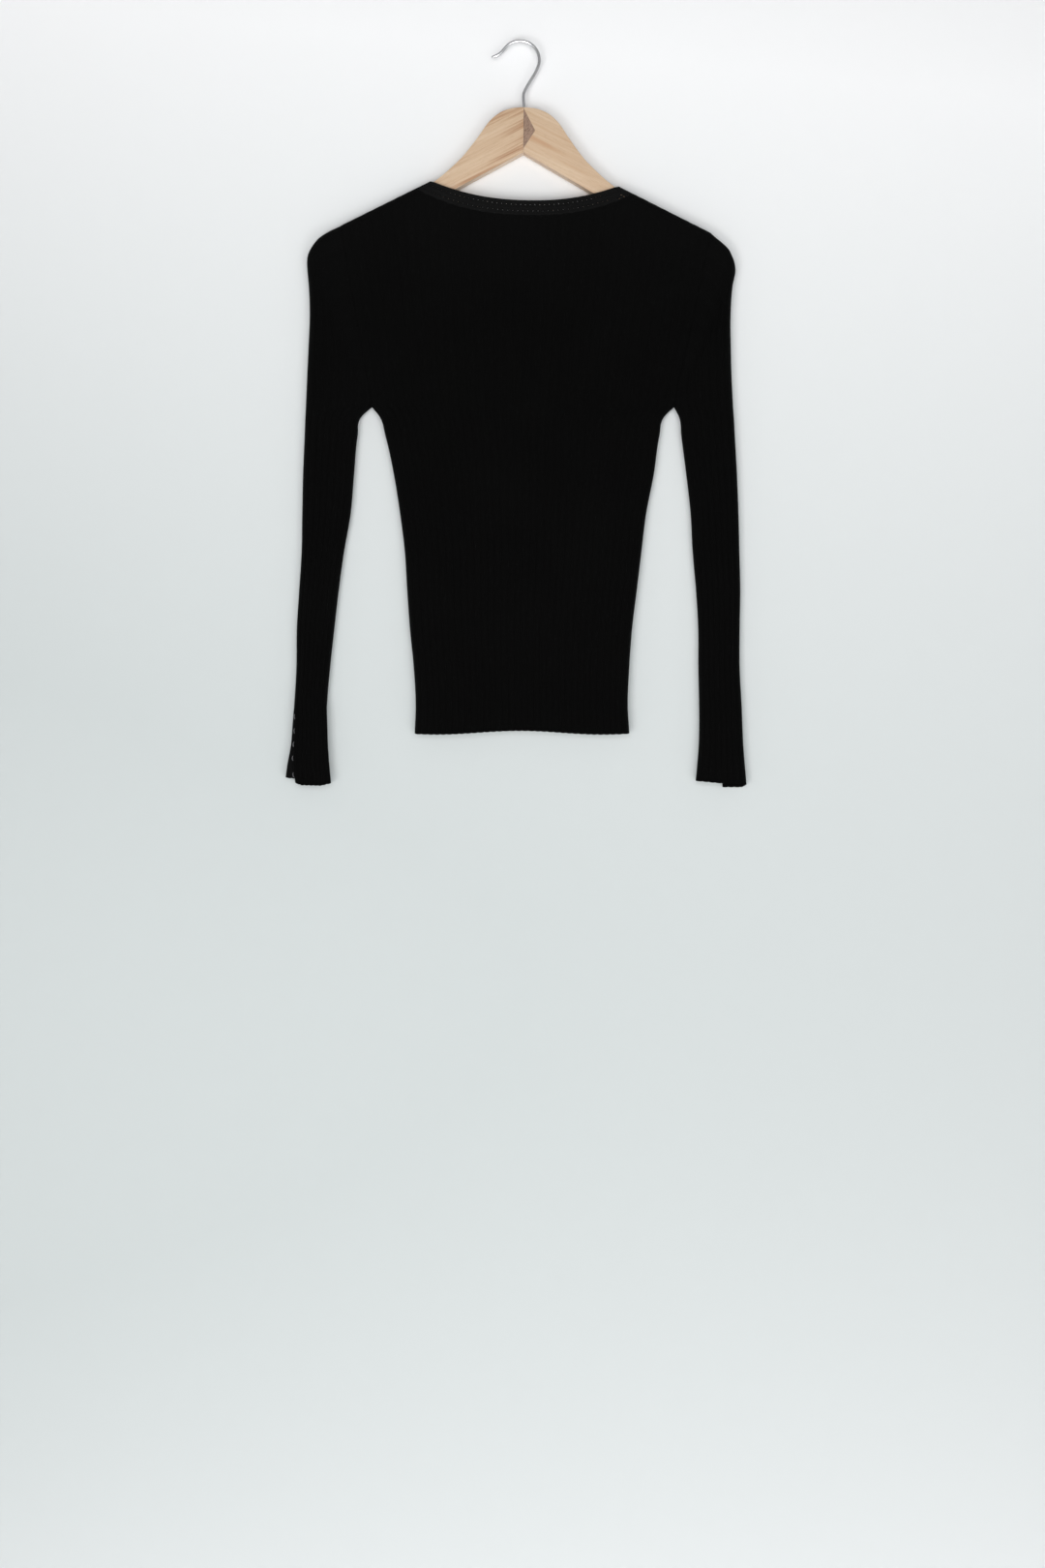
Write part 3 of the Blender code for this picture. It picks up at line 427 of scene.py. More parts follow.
def shoulder_z(side, x):
    """Height of the straight shoulder seam."""
    run = SHOULDER_TIP[side] - NECK_POINT[side]
    return NECK_POINT[side][1] + (x - NECK_POINT[side][0]) * run[1] / run[0]


def band_end(side):
    """The point where the neckband's lower edge meets the shoulder seam."""
    z = NECK_POINT[side][1]
    for _ in range(SEARCH_STEPS):
        z = float(shoulder_z(side, panel_x(NECK_COLUMNS[side], z)))
    return np.array((float(panel_x(NECK_COLUMNS[side], z)), z))


BAND_END = {side: band_end(side) for side in (LEFT, RIGHT)}


def hanging_line(x, ends, dip, power):
    """A neckline: it hangs between two points by dip, flatter in the middle with more power."""
    (x0, z0), (x1, z1) = ends[LEFT], ends[RIGHT]
    across = np.clip((2 * x - x0 - x1) / (x1 - x0), -1.0, 1.0)
    return z0 + (z1 - z0) * (x - x0) / (x1 - x0) - dip * (1 - np.abs(across) ** power)


def neck_edge_z(x, neck):
    """Height of the neckband's upper edge."""
    return hanging_line(x, NECK_POINT, neck["dip"], neck["power"])


def band_foot_z(x, neck):
    """Height of the neckband's lower edge, where the panel starts."""
    drop = sum(NECK_POINT[s][1] - BAND_END[s][1] for s in (LEFT, RIGHT)) / 2
    return hanging_line(x, BAND_END, neck["dip"] + BAND_WIDTH - drop, neck["power"] + FOOT_POWER)


def panel_top_z(column, neck):
    """Height of the top of each column: on the shoulder seams, or at the neckband's foot."""
    z = np.full(np.shape(column), TOP_GUESS)
    for _ in range(SEARCH_STEPS):
        x = panel_x(column, z)
        z = np.where(
            column <= NECK_COLUMNS[LEFT],
            shoulder_z(LEFT, x),
            np.where(column >= NECK_COLUMNS[RIGHT], shoulder_z(RIGHT, x), band_foot_z(x, neck)),
        )
    return z


def head_point(side, part):
    """A point of the sleeve head's fold, at a part of its length from the armpit's height up."""
    x, z = HEAD[side]["x"], HEAD[side]["z"]
    length = np.concatenate([[0.0], np.cumsum(np.hypot(np.diff(x), np.diff(z)))])
    at = np.asarray(part) * length[-1]
    return np.stack([smooth(at, length, x), smooth(at, length, z)], axis=-1)


def fold_line_points():
    """The lines where near and far cloth meet, each as a row of points."""
    lines = []
    body_heights = np.linspace(FOLD_FEET["body"], ARMPIT[LEFT][1], FOLD_POINTS)
    sleeve_heights = np.linspace(FOLD_FEET["sleeve"], ARMPIT[LEFT][1], FOLD_POINTS)
    for side in (LEFT, RIGHT):
        folds = SLEEVE[side]
        lines.append(np.stack([seam_x(side, body_heights), body_heights], axis=-1))
        for fold in ("outside", "inside"):
            across = smooth(sleeve_heights, folds["z"], folds[fold])
            lines.append(np.stack([across, sleeve_heights], axis=-1))
        lines.append(head_point(side, np.linspace(0, 1, HEAD_POINTS)))
        lines.append(np.array([SHOULDER_TIP[side], NECK_POINT[side]]))
    return lines


FOLD_STARTS = np.concatenate([line[:-1] for line in fold_line_points()])
FOLD_ENDS = np.concatenate([line[1:] for line in fold_line_points()])


def fold_distance(x, z):
    """Distance in the plane of the garment to the nearest line where near and far cloth meet."""
    run = FOLD_ENDS - FOLD_STARTS
    square = (run**2).sum(-1)
    places = np.stack([np.ravel(x), np.ravel(z)], axis=-1)
    nearest = np.empty(len(places))
    for first in range(0, len(places), AT_A_TIME):
        group = slice(first, first + AT_A_TIME)
        point = places[group, None, :] - FOLD_STARTS
        along = np.clip((point * run).sum(-1) / square, 0.0, 1.0)
        gap = point - along[..., None] * run
        nearest[group] = np.sqrt((gap**2).sum(-1).min(axis=-1))
    return nearest.reshape(np.shape(x))


def roll(t):
    """A quarter round: 0 at the fold, 1 where the cloth is flat."""
    t = np.clip(t, 0.0, 1.0)
    return np.sqrt(t * (2 - t))


def half_depths(x, z, kind, on_fold):
    """Half the garment's depth to the cloth's outer and inner face, and the cloth's flatness.

    The flatness is 0 at a fold and 1 where the cloth has rolled round to its full depth."""
    full = np.interp(z, DEPTHS["z"], DEPTHS[kind])
    reach = np.interp(z, DEPTHS["z"], DEPTHS["roll"])
    away = np.where(on_fold, 0.0, fold_distance(x, z))
    outer = full * roll(away / reach)
    inner = (full - WALL) * roll((away - WALL) / (reach - WALL))
    return outer, inner, away / reach


def wave(x, z, kind):
    """How far the middle of the garment's depth lies from y = 0."""
    below = ARMPIT[LEFT][1] - z
    if kind == "sleeve":
        part = np.clip(below / SLEEVE_BEND_LENGTH, 0.0, 1.0)
        return SLEEVE_BEND * np.sin(math.pi * part) ** 2
    waves = sum(
        height * np.sin(2 * math.pi * x / length + phase)
        for height, length, phase in zip(*BODY_WAVES.values())
    )
    return ease(below / WAVES_GROWN) * waves


# Soft troughs pressed into the cloth, as straight lines that fade at their ends: drag lines
# from the armpits, bends at the elbows and a few slack places over the waist and the hem.
CREASES = {
    NEAR: table(
        "x0 z0 x1 z1 width depth",
        (-0.150, -0.372, -0.085, -0.292, 0.009, 0.0011),
        (-0.146, -0.392, -0.060, -0.352, 0.010, 0.0010),
        (0.156, -0.374, 0.092, -0.300, 0.009, 0.0011),
        (0.150, -0.396, 0.070, -0.366, 0.011, 0.0009),
        (-0.160, -0.396, -0.215, -0.432, 0.008, 0.0012),
        (0.166, -0.398, 0.216, -0.440, 0.008, 0.0011),
        (-0.226, -0.548, -0.196, -0.566, 0.007, 0.0012),
        (-0.228, -0.585, -0.200, -0.598, 0.006, 0.0009),
        (0.228, -0.520, 0.192, -0.541, 0.007, 0.0012),
        (0.226, -0.566, 0.196, -0.578, 0.006, 0.0008),
        (-0.118, -0.560, -0.060, -0.540, 0.013, 0.0009),
        (0.122, -0.575, 0.058, -0.556, 0.013, 0.0010),
        (-0.040, -0.690, -0.046, -0.610, 0.012, 0.0007),
        (0.052, -0.700, 0.046, -0.628, 0.012, 0.0008),
        (-0.236, -0.676, -0.206, -0.664, 0.006, 0.0007),
        (0.226, -0.690, 0.192, -0.676, 0.006, 0.0008),
    ),
    FAR: table(
        "x0 z0 x1 z1 width depth",
        (-0.150, -0.374, -0.095, -0.306, 0.009, 0.0011),
        (0.156, -0.376, 0.098, -0.292, 0.010, 0.0012),
        (-0.146, -0.398, -0.070, -0.372, 0.011, 0.0009),
        (-0.166, -0.400, -0.214, -0.426, 0.008, 0.0010),
        (0.168, -0.396, 0.216, -0.430, 0.008, 0.0012),
        (-0.228, -0.530, -0.192, -0.551, 0.007, 0.0012),
        (0.228, -0.548, 0.196, -0.560, 0.007, 0.0010),
        (-0.112, -0.590, -0.050, -0.566, 0.014, 0.0010),
        (0.118, -0.548, 0.064, -0.530, 0.013, 0.0008),
        (0.010, -0.700, 0.004, -0.622, 0.013, 0.0008),
    ),
}
CREASE_WAVER = 0.12  # how far a crease wavers to each side, as a part of its width
CREASE_TURNS = 9  # radians of that wave along its length
CREASE_ENDS = (0.35, 0.5)  # parts of its length over which it fades in and out


def creased(x, z, face, flatness):
    """How far the cloth is pressed in at a place, fading to nothing at the folds."""
    pressed = np.zeros(np.shape(x))
    for x0, z0, x1, z1, width, depth in zip(*CREASES[face].values()):
        run_x, run_z = x1 - x0, z1 - z0
        length = math.hypot(run_x, run_z)
        along = ((x - x0) * run_x + (z - z0) * run_z) / length**2
        aside = ((x - x0) * run_z - (z - z0) * run_x) / length
        bend = aside - CREASE_WAVER * width * np.sin(CREASE_TURNS * along)
        fade = ease(along / CREASE_ENDS[0]) * ease((1 - along) / CREASE_ENDS[1])
        pressed += depth * fade * np.exp(-((bend / width) ** 2))
    return pressed * ease(flatness)


def rib(column):
    """The height of the ribs, 0 in a valley and 1 on a crest, at a column."""
    return np.abs(np.sin(math.pi * np.asarray(column, float) / 2)) ** RIB_ROUNDNESS


# ---------------------------------------------------------------- meshes of cloth


def strip(first, first_at, second, second_at):
    """Triangles between two rows of points, whose places along the rows start together."""
    faces = []
    i = j = 0
    while i < len(first) - 1 or j < len(second) - 1:
        step_first = j == len(second) - 1 or (
            i < len(first) - 1 and first_at[i + 1] <= second_at[j + 1]
        )
        if step_first:
            faces.append((first[i], first[i + 1], second[j]))
            i += 1
        else:
            faces.append((first[i], second[j + 1], second[j]))
            j += 1
    return faces


def grid_faces(ids):
    """Quads of a grid of point numbers."""
    corners = (ids[:-1, :-1], ids[:-1, 1:], ids[1:, 1:], ids[1:, :-1])
    return np.stack([c.ravel() for c in corners], axis=-1).tolist()


def lengths_along(points, axis):
    """Each point's distance from the start of its line."""
    steps = np.linalg.norm(np.diff(points, axis=axis), axis=-1)
    start = np.zeros_like(np.take(steps, [0], axis=axis))
    return np.concatenate([start, np.cumsum(steps, axis=axis)], axis=axis)


def new_piece(name, points, faces, surface, uv=None, sharp=50):
    """A mesh piece with its normals turned outwards and smooth shading.

    uv gives each point's place in the knit: how many ribs across, and how many metres along."""
    mesh = bpy.data.meshes.new(name)
    mesh.from_pydata(np.asarray(points, float).tolist(), [], faces)
    shape = bmesh.new()
    shape.from_mesh(mesh)
    bmesh.ops.recalc_face_normals(shape, faces=shape.faces)
    shape.to_mesh(mesh)
    shape.free()
    if uv is not None:
        layer = mesh.uv_layers.new(name="knit")
        corner = np.empty(len(mesh.loops), np.int32)
        mesh.loops.foreach_get("vertex_index", corner)
        layer.data.foreach_set("uv", np.asarray(uv, np.float32)[corner].ravel())
    mesh.shade_smooth()
    mesh.set_sharp_from_angle(angle=math.radians(sharp))
    mesh.materials.append(surface)
    obj = bpy.data.objects.new(name, mesh)
    bpy.context.scene.collection.objects.link(obj)
    return obj


def select_none():
    """Deselects everything."""
    for obj in bpy.context.view_layer.objects:
        obj.select_set(False)


def select_only(obj):
    """Selects this object alone and makes it the active one."""
    select_none()
    obj.select_set(True)
    bpy.context.view_layer.objects.active = obj


def dress(piece, slot_name, *nodes):
    """Puts a finished piece on the part, in place of the CAD nodes that it stands for."""
    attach(piece, "root")
    if nodes:
        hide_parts(*nodes)
    return piece


def unit(vector):
    """The vector's direction."""
    return vector / np.linalg.norm(vector)


def shoulder_inward(side):
    """The direction in the garment's plane from the shoulder seam into the cloth."""
    run = unit(NECK_POINT[side] - SHOULDER_TIP[side])
    return np.array((run[1], -run[0])) if side == LEFT else np.array((-run[1], run[0]))


def armhole_up(side):
    """The direction of the armhole seam, from the armpit to the shoulder tip."""
    return unit(SHOULDER_TIP[side] - ARMPIT[side])


def panel_rows(column, neck):
    """Heights of a panel's points: level rows, then rows that close up towards the top edge."""
    top = panel_top_z(column, neck)
    level = np.linspace(HEM, ROWS_LEVEL_TO, round((ROWS_LEVEL_TO - HEM) / ROW_STEP) + 1)
    level[np.abs(level - ARMPIT[LEFT][1]).argmin()] = ARMPIT[LEFT][1]
    rows = [np.full(len(column), height) for height in level]
    hem_x = panel_x(column, HEM)
    rows[0] = HEM + HEM_WAVE * np.cos(2 * math.pi * hem_x / HEM_WAVE_LENGTH)
    rows[1] = (rows[0] + rows[2]) / 2
    for step in range(1, TOP_ROWS + 1):
        part = 1 - (1 - step / TOP_ROWS) ** TOP_CLOSING
        rows.append(ROWS_LEVEL_TO + (top - ROWS_LEVEL_TO) * part)
    return np.array(rows)


def make_panel(name, face, neck, surface):
    """The back or the front: 34 ribs from the hem to the shoulders and the neckband."""
    column = np.arange(LAST_COLUMN * FINE + 1) / FINE
    z = panel_rows(column, neck)
    x = panel_x(column, z)
    on_shoulder = (column <= NECK_COLUMNS[LEFT]) | (column >= NECK_COLUMNS[RIGHT])
    bumped = (column < NECK_COLUMNS[LEFT]) | (column > NECK_COLUMNS[RIGHT])
    on_fold = np.zeros(x.shape, bool)
    on_fold[-1] = on_shoulder
    pull = np.zeros((*x.shape, 2))
    for side, edge in ((LEFT, 0), (RIGHT, -1)):
        low = z[:, edge] <= ARMPIT[side][1]
        on_fold[low, edge] = True
        pull[low, edge] = (-side * WALL, 0.0)
        pull[np.flatnonzero(low)[-1], edge] = SEAM_REACH * armhole_up(side)
        shoulder = on_shoulder & ((column < LAST_COLUMN / 2) == (side == LEFT))
        pull[-1, shoulder] = WALL * shoulder_inward(side)
        pull[-1, edge] = -SEAM_REACH * armhole_up(side)
        x[z[:, edge] >= ARMPIT[side][1], edge] -= side * SEWN / 2
    outer, inner, flatness = half_depths(x, z, "body", on_fold)
    pressed = creased(x, z, face, flatness)
    rise = RIB_RISE * rib(column) * ease(flatness * RIB_START)
    outer_y = np.maximum(outer, SEAM / 2) + np.where(on_fold, 0.0, rise - pressed)
    outer_z = z.copy()
    outer_z[-1] += SHOULDER_BUMP * rib(column) * bumped
    outer_z[0] -= HEM_BUMP * rib(column)
    inner_x, inner_z = x + pull[..., 0], z + pull[..., 1]
    inner_y = np.maximum(inner - pressed, SEAM / 2)
    middle, inner_middle = wave(x, z, "body"), wave(inner_x, inner_z, "body")
    outer_points = np.stack([x, middle + face * outer_y, outer_z], axis=-1)
    inner_points = np.stack([inner_x, inner_middle + face * inner_y, inner_z], axis=-1)

    kept = np.arange(0, len(column), FINE)
    inner_points = inner_points[:, kept]
    inner_column = column[kept]
    rows = len(z)
    outer_ids = np.arange(rows * len(column)).reshape(rows, -1)
    inner_ids = outer_ids.size + np.arange(rows * len(kept)).reshape(rows, -1)
    faces = grid_faces(outer_ids) + grid_faces(inner_ids)
    for row in (0, rows - 1):
        faces += strip(outer_ids[row], column, inner_ids[row], inner_column)
    for edge in (0, -1):
        height = np.arange(rows)
        faces += strip(outer_ids[:, edge], height, inner_ids[:, edge], height)
    uvs = []
    for points, at in ((outer_points, column), (inner_points, inner_column)):
        up = lengths_along(points, 0)
        uvs.append(np.stack([np.broadcast_to(at / 2, up.shape), up], axis=-1).reshape(-1, 2))
    points = np.concatenate([outer_points.reshape(-1, 3), inner_points.reshape(-1, 3)])
    return new_piece(name, points, faces, surface, np.concatenate(uvs))


# ---------------------------------------------------------------- the neckband and its eyelets


def eyelets(columns):
    """Each eyelet's cell corner (level below the upper edge, column) and its reach in cells."""
    for level, shift in EYELET_ROWS:
        first, end = EYELET_MARGINS[0] + shift, columns - EYELET_MARGINS[1]
        for column in range(first, end, EYELET_STEP):
            yield level, column, 1
    for level, from_end, reach in END_EYELETS:
        yield level, columns - from_end, reach


def cells_round(level, column, far):
    """The square of a grid's points that lie up to far from one of them."""
    return slice(level - far, level + far + 1), slice(column - far, column + far + 1)


def band_edges(neck):
    """For points a cell apart: their distance along the band, the foot and the upper edge."""
    first, last = NECK_COLUMNS[LEFT], NECK_COLUMNS[RIGHT]
    rough = np.linspace(first, last, BAND_POINTS)
    rough_z = panel_top_z(rough, neck)
    rough_x = panel_x(rough, rough_z)
    length = np.concatenate([[0.0], np.cumsum(np.hypot(np.diff(rough_x), np.diff(rough_z)))])
    along = np.linspace(0.0, length[-1], round(length[-1] / BAND_CELL) + 1)
    column = np.interp(along, length, rough)
    foot_z = panel_top_z(column, neck)
    foot = np.stack([panel_x(column, foot_z), foot_z], axis=-1)
    part = (foot[:, 0] - BAND_END[LEFT][0]) / (BAND_END[RIGHT][0] - BAND_END[LEFT][0])
    edge_x = NECK_POINT[LEFT][0] + part * (NECK_POINT[RIGHT][0] - NECK_POINT[LEFT][0])
    edge = np.stack([edge_x, neck_edge_z(edge_x, neck)], axis=-1)
    return along, foot, edge


def make_neckband(name, face, neck, surface):
    """The trim along a neck edge, with two rows of eyelets that are open through the cloth."""
    along, foot, edge = band_edges(neck)
    width = np.linalg.norm(edge - foot, axis=-1)
    down = np.arange(BAND_LEVELS + 1)[:, None] / BAND_LEVELS * (width + BAND_LAP)
    across = np.broadcast_to(along, down.shape).copy()
    raised = BAND_RISE + sum(
        height * np.exp(-(((down - middle) / thick) ** 2))
        for middle, height, thick in zip(*BAND_CORDS.values())
    )
    keep = np.ones((BAND_LEVELS, len(along) - 1), bool)
    for level, column, reach in eyelets(len(along)):
        radius = EYELET_RADII[reach]
        centre_across, centre_down = across[level, column], down[level, column]
        rim = cells_round(level, column, reach + 2)
        away = np.hypot(across[rim] - centre_across, down[rim] - centre_down)
        widths = (away - radius) / EYELET_RIM["width"]
        raised[rim] += EYELET_RIM["rise"] * np.exp(-((widths - EYELET_RIM["away"]) ** 2))
        hole = cells_round(level, column, reach)
        aside, below = across[hole] - centre_across, down[hole] - centre_down
        scale = radius / np.maximum(np.hypot(aside, below), 1e-9)
        across[hole] = centre_across + aside * scale
        down[hole] = centre_down + below * scale
        keep[level - reach : level + reach, column - reach : column + reach] = False

    at = np.interp(across, along, np.arange(len(along)))
    low = np.clip(at.astype(int), 0, len(along) - 2)
    rest = at - low
    lower = foot[low] + (foot[low + 1] - foot[low]) * rest[..., None]
    upper = edge[low] + (edge[low + 1] - edge[low]) * rest[..., None]
    place = upper + (lower - upper) * (down / np.linalg.norm(lower - upper, axis=-1))[..., None]
    on_fold = np.zeros(down.shape, bool)
    on_fold[:, [0, -1]] = True
    outer, _, flatness = half_depths(place[..., 0], place[..., 1], "body", on_fold)
    raised = np.where(on_fold, 0.0, raised * ease(flatness * RIB_START))
    outer_y = np.maximum(outer, SEAM / 2) + raised
    points = np.stack([place[..., 0], face * outer_y, place[..., 1]], axis=-1).reshape(-1, 3)
    faces = np.array(grid_faces(np.arange(down.size).reshape(down.shape)))[keep.ravel()]
    if face == NEAR:
        faces = faces[:, ::-1]
    used = np.unique(faces)
    number = np.zeros(len(points), int)
    number[used] = np.arange(len(used))
    uv = np.stack([across / (EYELET_STEP * BAND_CELL), -down], axis=-1).reshape(-1, 2)
    piece = new_piece(name, points[used], number[faces].tolist(), surface, uv[used], sharp=80)
    if sum(polygon.normal.y for polygon in piece.data.polygons) * face < 0:
        piece.data.flip_normals()
    select_only(piece)
    wall = piece.modifiers.new("wall", "SOLIDIFY")
    wall.thickness = WALL
    wall.offset = -1.0
    bpy.ops.object.modifier_apply(modifier=wall.name)
    return piece


# ---------------------------------------------------------------- sleeves


def slit_open(z):
    """0 at the top of the cuff slit and above, 1 where its edges have parted."""
    return ease((SLIT_TOP - z) / SLIT_OPEN)


def slit_pull(side, z):
    """How far the slit's upper edge has drawn back at height z."""
    pull = CUFF[side]["pull"]
    return np.interp(z, pull["z"], pull["x"])


def column_places(side, q, part_across, slit_side):
    """Places (x, z) of one sleeve column from the cuff up, and their order for joining."""
    folds = SLEEVE[side]
    hem = CUFF[side]["hem"]
    hem_q = UNDER_HEM_Q if side == RIGHT and slit_side == "under" else q
    z = SLEEVE_HEIGHTS.copy()
    z[0] = np.interp(hem_q, hem["q"], hem["z"])
    z[:HEM_ROWS] = z[0] + (z[HEM_ROWS] - z[0]) * np.arange(HEM_ROWS) / HEM_ROWS
    outside = smooth(z, folds["z"], folds["outside"])
    inside = smooth(z, folds["z"], folds["inside"])
    part = np.full(len(z), part_across)
    if side == LEFT and q <= 0.5 and slit_side != "under":
        outside = outside + slit_pull(side, z)
    if side == RIGHT and q >= RIGHT_SLIT["q"] and slit_side != "under":
        shift = slit_pull(side, z) * part / RIGHT_SLIT["part"]
        part = part - shift / np.abs(outside - inside)
    low = np.stack([outside + part * (inside - outside), z], axis=-1)
    count = max(1, round(HEAD_STEPS * (1 - part_across))) if part_across < 1 else 0
    way = 1 - (1 - np.arange(1, count + 1) / max(count, 1)) ** HEAD_CLOSING
    fold = head_point(side, way)
    high = (1 - part_across) * fold + part_across * ARMPIT[side]
    if count:
        high[-1, 0] += side * SEWN / 2
    else:
        low[-1, 0] += side * SEWN / 2
    order = np.concatenate([np.arange(len(z)), len(z) - 1 + way * HEAD_STEPS])
    return np.concatenate([low, high]), order


def column_points(side, q, part_across, at, slit_side):
    """Outer and inner points of one sleeve column, and their order for joining."""
    place, order = column_places(side, q, part_across, slit_side)
    x, z = place[:, 0], place[:, 1]
    face = NEAR if q <= 0.5 else FAR
    fold = part_across in (0.0, 1.0)
    outer, inner, flatness = half_depths(x, z, "sleeve", np.full(len(x), fold))
    opened = slit_open(z)
    pull = np.zeros((len(x), 2))
    if fold:
        inward = -side if part_across == 0 else side
        pull[:, 0] = inward * WALL
        head = z > ARMPIT[side][1]
        if part_across == 0:
            run = np.gradient(place[head], axis=0)
            run /= np.linalg.norm(run, axis=1)[:, None]
            pull[head] = WALL * np.stack([-side * run[:, 1], side * run[:, 0]], axis=-1)
            pull[-1] = -SEAM_REACH * armhole_up(side)
        else:
            pull[-1] = SEAM_REACH * armhole_up(side)
    if side == LEFT and face == NEAR and slit_side != "under":
        outer = outer + opened * (OVERLAP_DEPTH - outer)
        inner = inner + opened * (OVERLAP_DEPTH - WALL - inner)
        pull *= (1 - opened)[:, None]
    if side == RIGHT and face == FAR and q <= RIGHT_SLIT["q"] and slit_side != "upper":
        slit_x = column_places(side, *RIGHT_SLIT.values(), "under")[0][: len(x), 0]
        reach = len(slit_x)
        near_slit = np.zeros(len(x))
        near_slit[:reach] = ease(1 - (np.abs(x[:reach] - slit_x) - SLIT_LIP) / UNDER_REACH)
        dip = opened * near_slit
        outer = outer + dip * (UNDER_DEPTH - outer)
        inner = inner + dip * (UNDER_DEPTH - WALL - inner)
    pressed = creased(x, z, face, flatness) * (1 - opened)
    inner_x, inner_z = x + pull[:, 0], z + pull[:, 1]
    rise = 0.0 if fold else RIB_RISE * rib(at) * ease(np.maximum(flatness * RIB_START, opened))
    outer_y = wave(x, z, "sleeve") + face * (outer + rise - pressed)
    inner_y = wave(inner_x, inner_z, "sleeve") + face * np.maximum(inner - pressed, 0.0)
    outer_z = z.copy()
    outer_z[0] -= HEM_BUMP * rib(at)
    return (
        np.stack([x, outer_y, outer_z], axis=-1),
        np.stack([inner_x, inner_y, inner_z], axis=-1),
        order,
    )


def make_sleeve(name, side, surface):
    """One knitted tube of 16 ribs, from the armhole seam to a cuff that is slit and open.

    Its columns run once round from the slit, and above the slit the last is the first again."""
    count = 2 * SLEEVE_RIBS * FINE
    slit = CUFF[side]["slit"]
    points, uv = [], []
    outer_sheet, inner_sheet = ({"ids": [], "orders": [], "columns": []} for _ in range(2))
    for i in range(count + 1):
        q = slit + i / count
        q = q - 1 if q > 1 else q
        slit_side = {0: "upper", count: "under"}.get(i)
        outer, inner, order = column_points(side, q, 1 - abs(1 - 2 * q), i / FINE, slit_side)
        sheets = [(outer_sheet, outer)]
        if i % FINE == 0:
            sheets.append((inner_sheet, inner))
        for sheet, rows in sheets:
            own = rows[:SLIT_ROW] if i == count else rows
            ids = list(range(len(points), len(points) + len(own)))
            points.extend(own)
            up = lengths_along(rows, 0)[: len(own)]
            uv.extend(np.stack([np.full(len(own), i / FINE / 2), up], axis=-1))
            if i == count:
                ids += sheet["ids"][0][SLIT_ROW:]
            sheet["ids"].append(ids)
            sheet["orders"].append(order)
            sheet["columns"].append(i)
    faces = []
    for sheet in (outer_sheet, inner_sheet):
        lines = list(zip(sheet["ids"], sheet["orders"]))
        for (ids, order), (next_ids, next_order) in zip(lines, lines[1:]):
            faces += strip(ids, order, next_ids, next_order)
    for row in (0, -1):
        outer_row, inner_row = (
            [ids[row] for ids in sheet["ids"]] for sheet in (outer_sheet, inner_sheet)
        )
        faces += strip(outer_row, outer_sheet["columns"], inner_row, inner_sheet["columns"])
    up_slit = range(SLIT_ROW + 1)
    for edge in (0, -1):
        outer_line, inner_line = (
            sheet["ids"][edge][: SLIT_ROW + 1] for sheet in (outer_sheet, inner_sheet)
        )
        faces += strip(outer_line, up_slit, inner_line, up_slit)
    faces = [tuple(int(v) for v in face) for face in faces]
    return new_piece(name, points, faces, surface, uv)


def strip_edges(side, z):
    """x of the button strip's two edges, and of the slit's upper edge that covers it."""
    slit = CUFF[side]["slit"]
    part = 0.0 if side == LEFT else RIGHT_SLIT["part"]
    rows = len(SLEEVE_HEIGHTS)
    under_q = 1.0 if side == LEFT else slit
    under = column_places(side, under_q, part, "under")[0][:rows]
    upper = column_places(side, slit, part, "upper")[0][:rows]
    start = np.interp(z, under[:, 1], under[:, 0])
    cover = np.interp(z, upper[:, 1], upper[:, 0])
    return start, cover + CUFF[side]["strip_past"], cover


def make_placket(name, side, surface):
    """The strip under the cuff slit that the buttons are sewn to, in fine ribs of its own."""
    face = NEAR if side == LEFT else FAR
    hem = CUFF[side]["hem"]
    foot = float(np.interp(1.0 if side == LEFT else UNDER_HEM_Q, hem["q"], hem["z"]))
    heights = np.linspace(foot, STRIP_TOP, STRIP_ROWS)
    start, end, _ = strip_edges(side, heights)
    first = start if side == LEFT else start + SEAM
    share = np.linspace(0.0, 1.0, STRIP_COLUMNS + 1)
    x = first[:, None] + (end - first)[:, None] * share
    z = np.repeat(heights[:, None], len(share), axis=1)
    ramp = np.clip((x - first[:, None]) / STRIP_RAMP, 0.0, 1.0)
    depth = UNDER_DEPTH - STRIP_LIFT[side] * (1 - ramp)
    valley = STRIP_RIB_RISE * (1 - np.abs(np.sin(math.pi * STRIP_RIBS * share)))
    middle = wave(x, z, "sleeve")
    outer = np.stack([x, middle + face * (depth - valley), z], axis=-1)
    inner = np.stack([x, middle + face * (depth - WALL), z], axis=-1)
    outer_ids = np.arange(x.size).reshape(x.shape)
    inner_ids = outer_ids + x.size
    faces = grid_faces(outer_ids) + grid_faces(inner_ids)
    for row in (0, -1):
        faces += grid_faces(np.stack([outer_ids[row], inner_ids[row]]))
    for edge in (0, -1):
        faces += grid_faces(np.stack([outer_ids[:, edge], inner_ids[:, edge]]))
    uv = np.stack([np.broadcast_to(share * STRIP_RIBS, x.shape), z], axis=-1).reshape(-1, 2)
    points = np.concatenate([outer.reshape(-1, 3), inner.reshape(-1, 3)])
    return new_piece(name, points, faces, surface, np.concatenate([uv, uv]))


# ---------------------------------------------------------------- hard pieces


def apply_all(obj):
    """Puts the object's place, turn and size into its mesh."""
    select_only(obj)
    bpy.ops.object.transform_apply(location=True, rotation=True, scale=True)


def turn_outwards(obj):
    """Turns all faces of a closed mesh outwards."""
    bpy.ops.object.mode_set(mode="EDIT")
    bpy.ops.mesh.select_all(action="SELECT")
    bpy.ops.mesh.normals_make_consistent(inside=False)
    bpy.ops.object.mode_set(mode="OBJECT")


def shade(obj, sharp):
    """Smooth shading, with edges past this angle in degrees left sharp."""
    obj.data.shade_smooth()
    obj.data.set_sharp_from_angle(angle=math.radians(sharp))


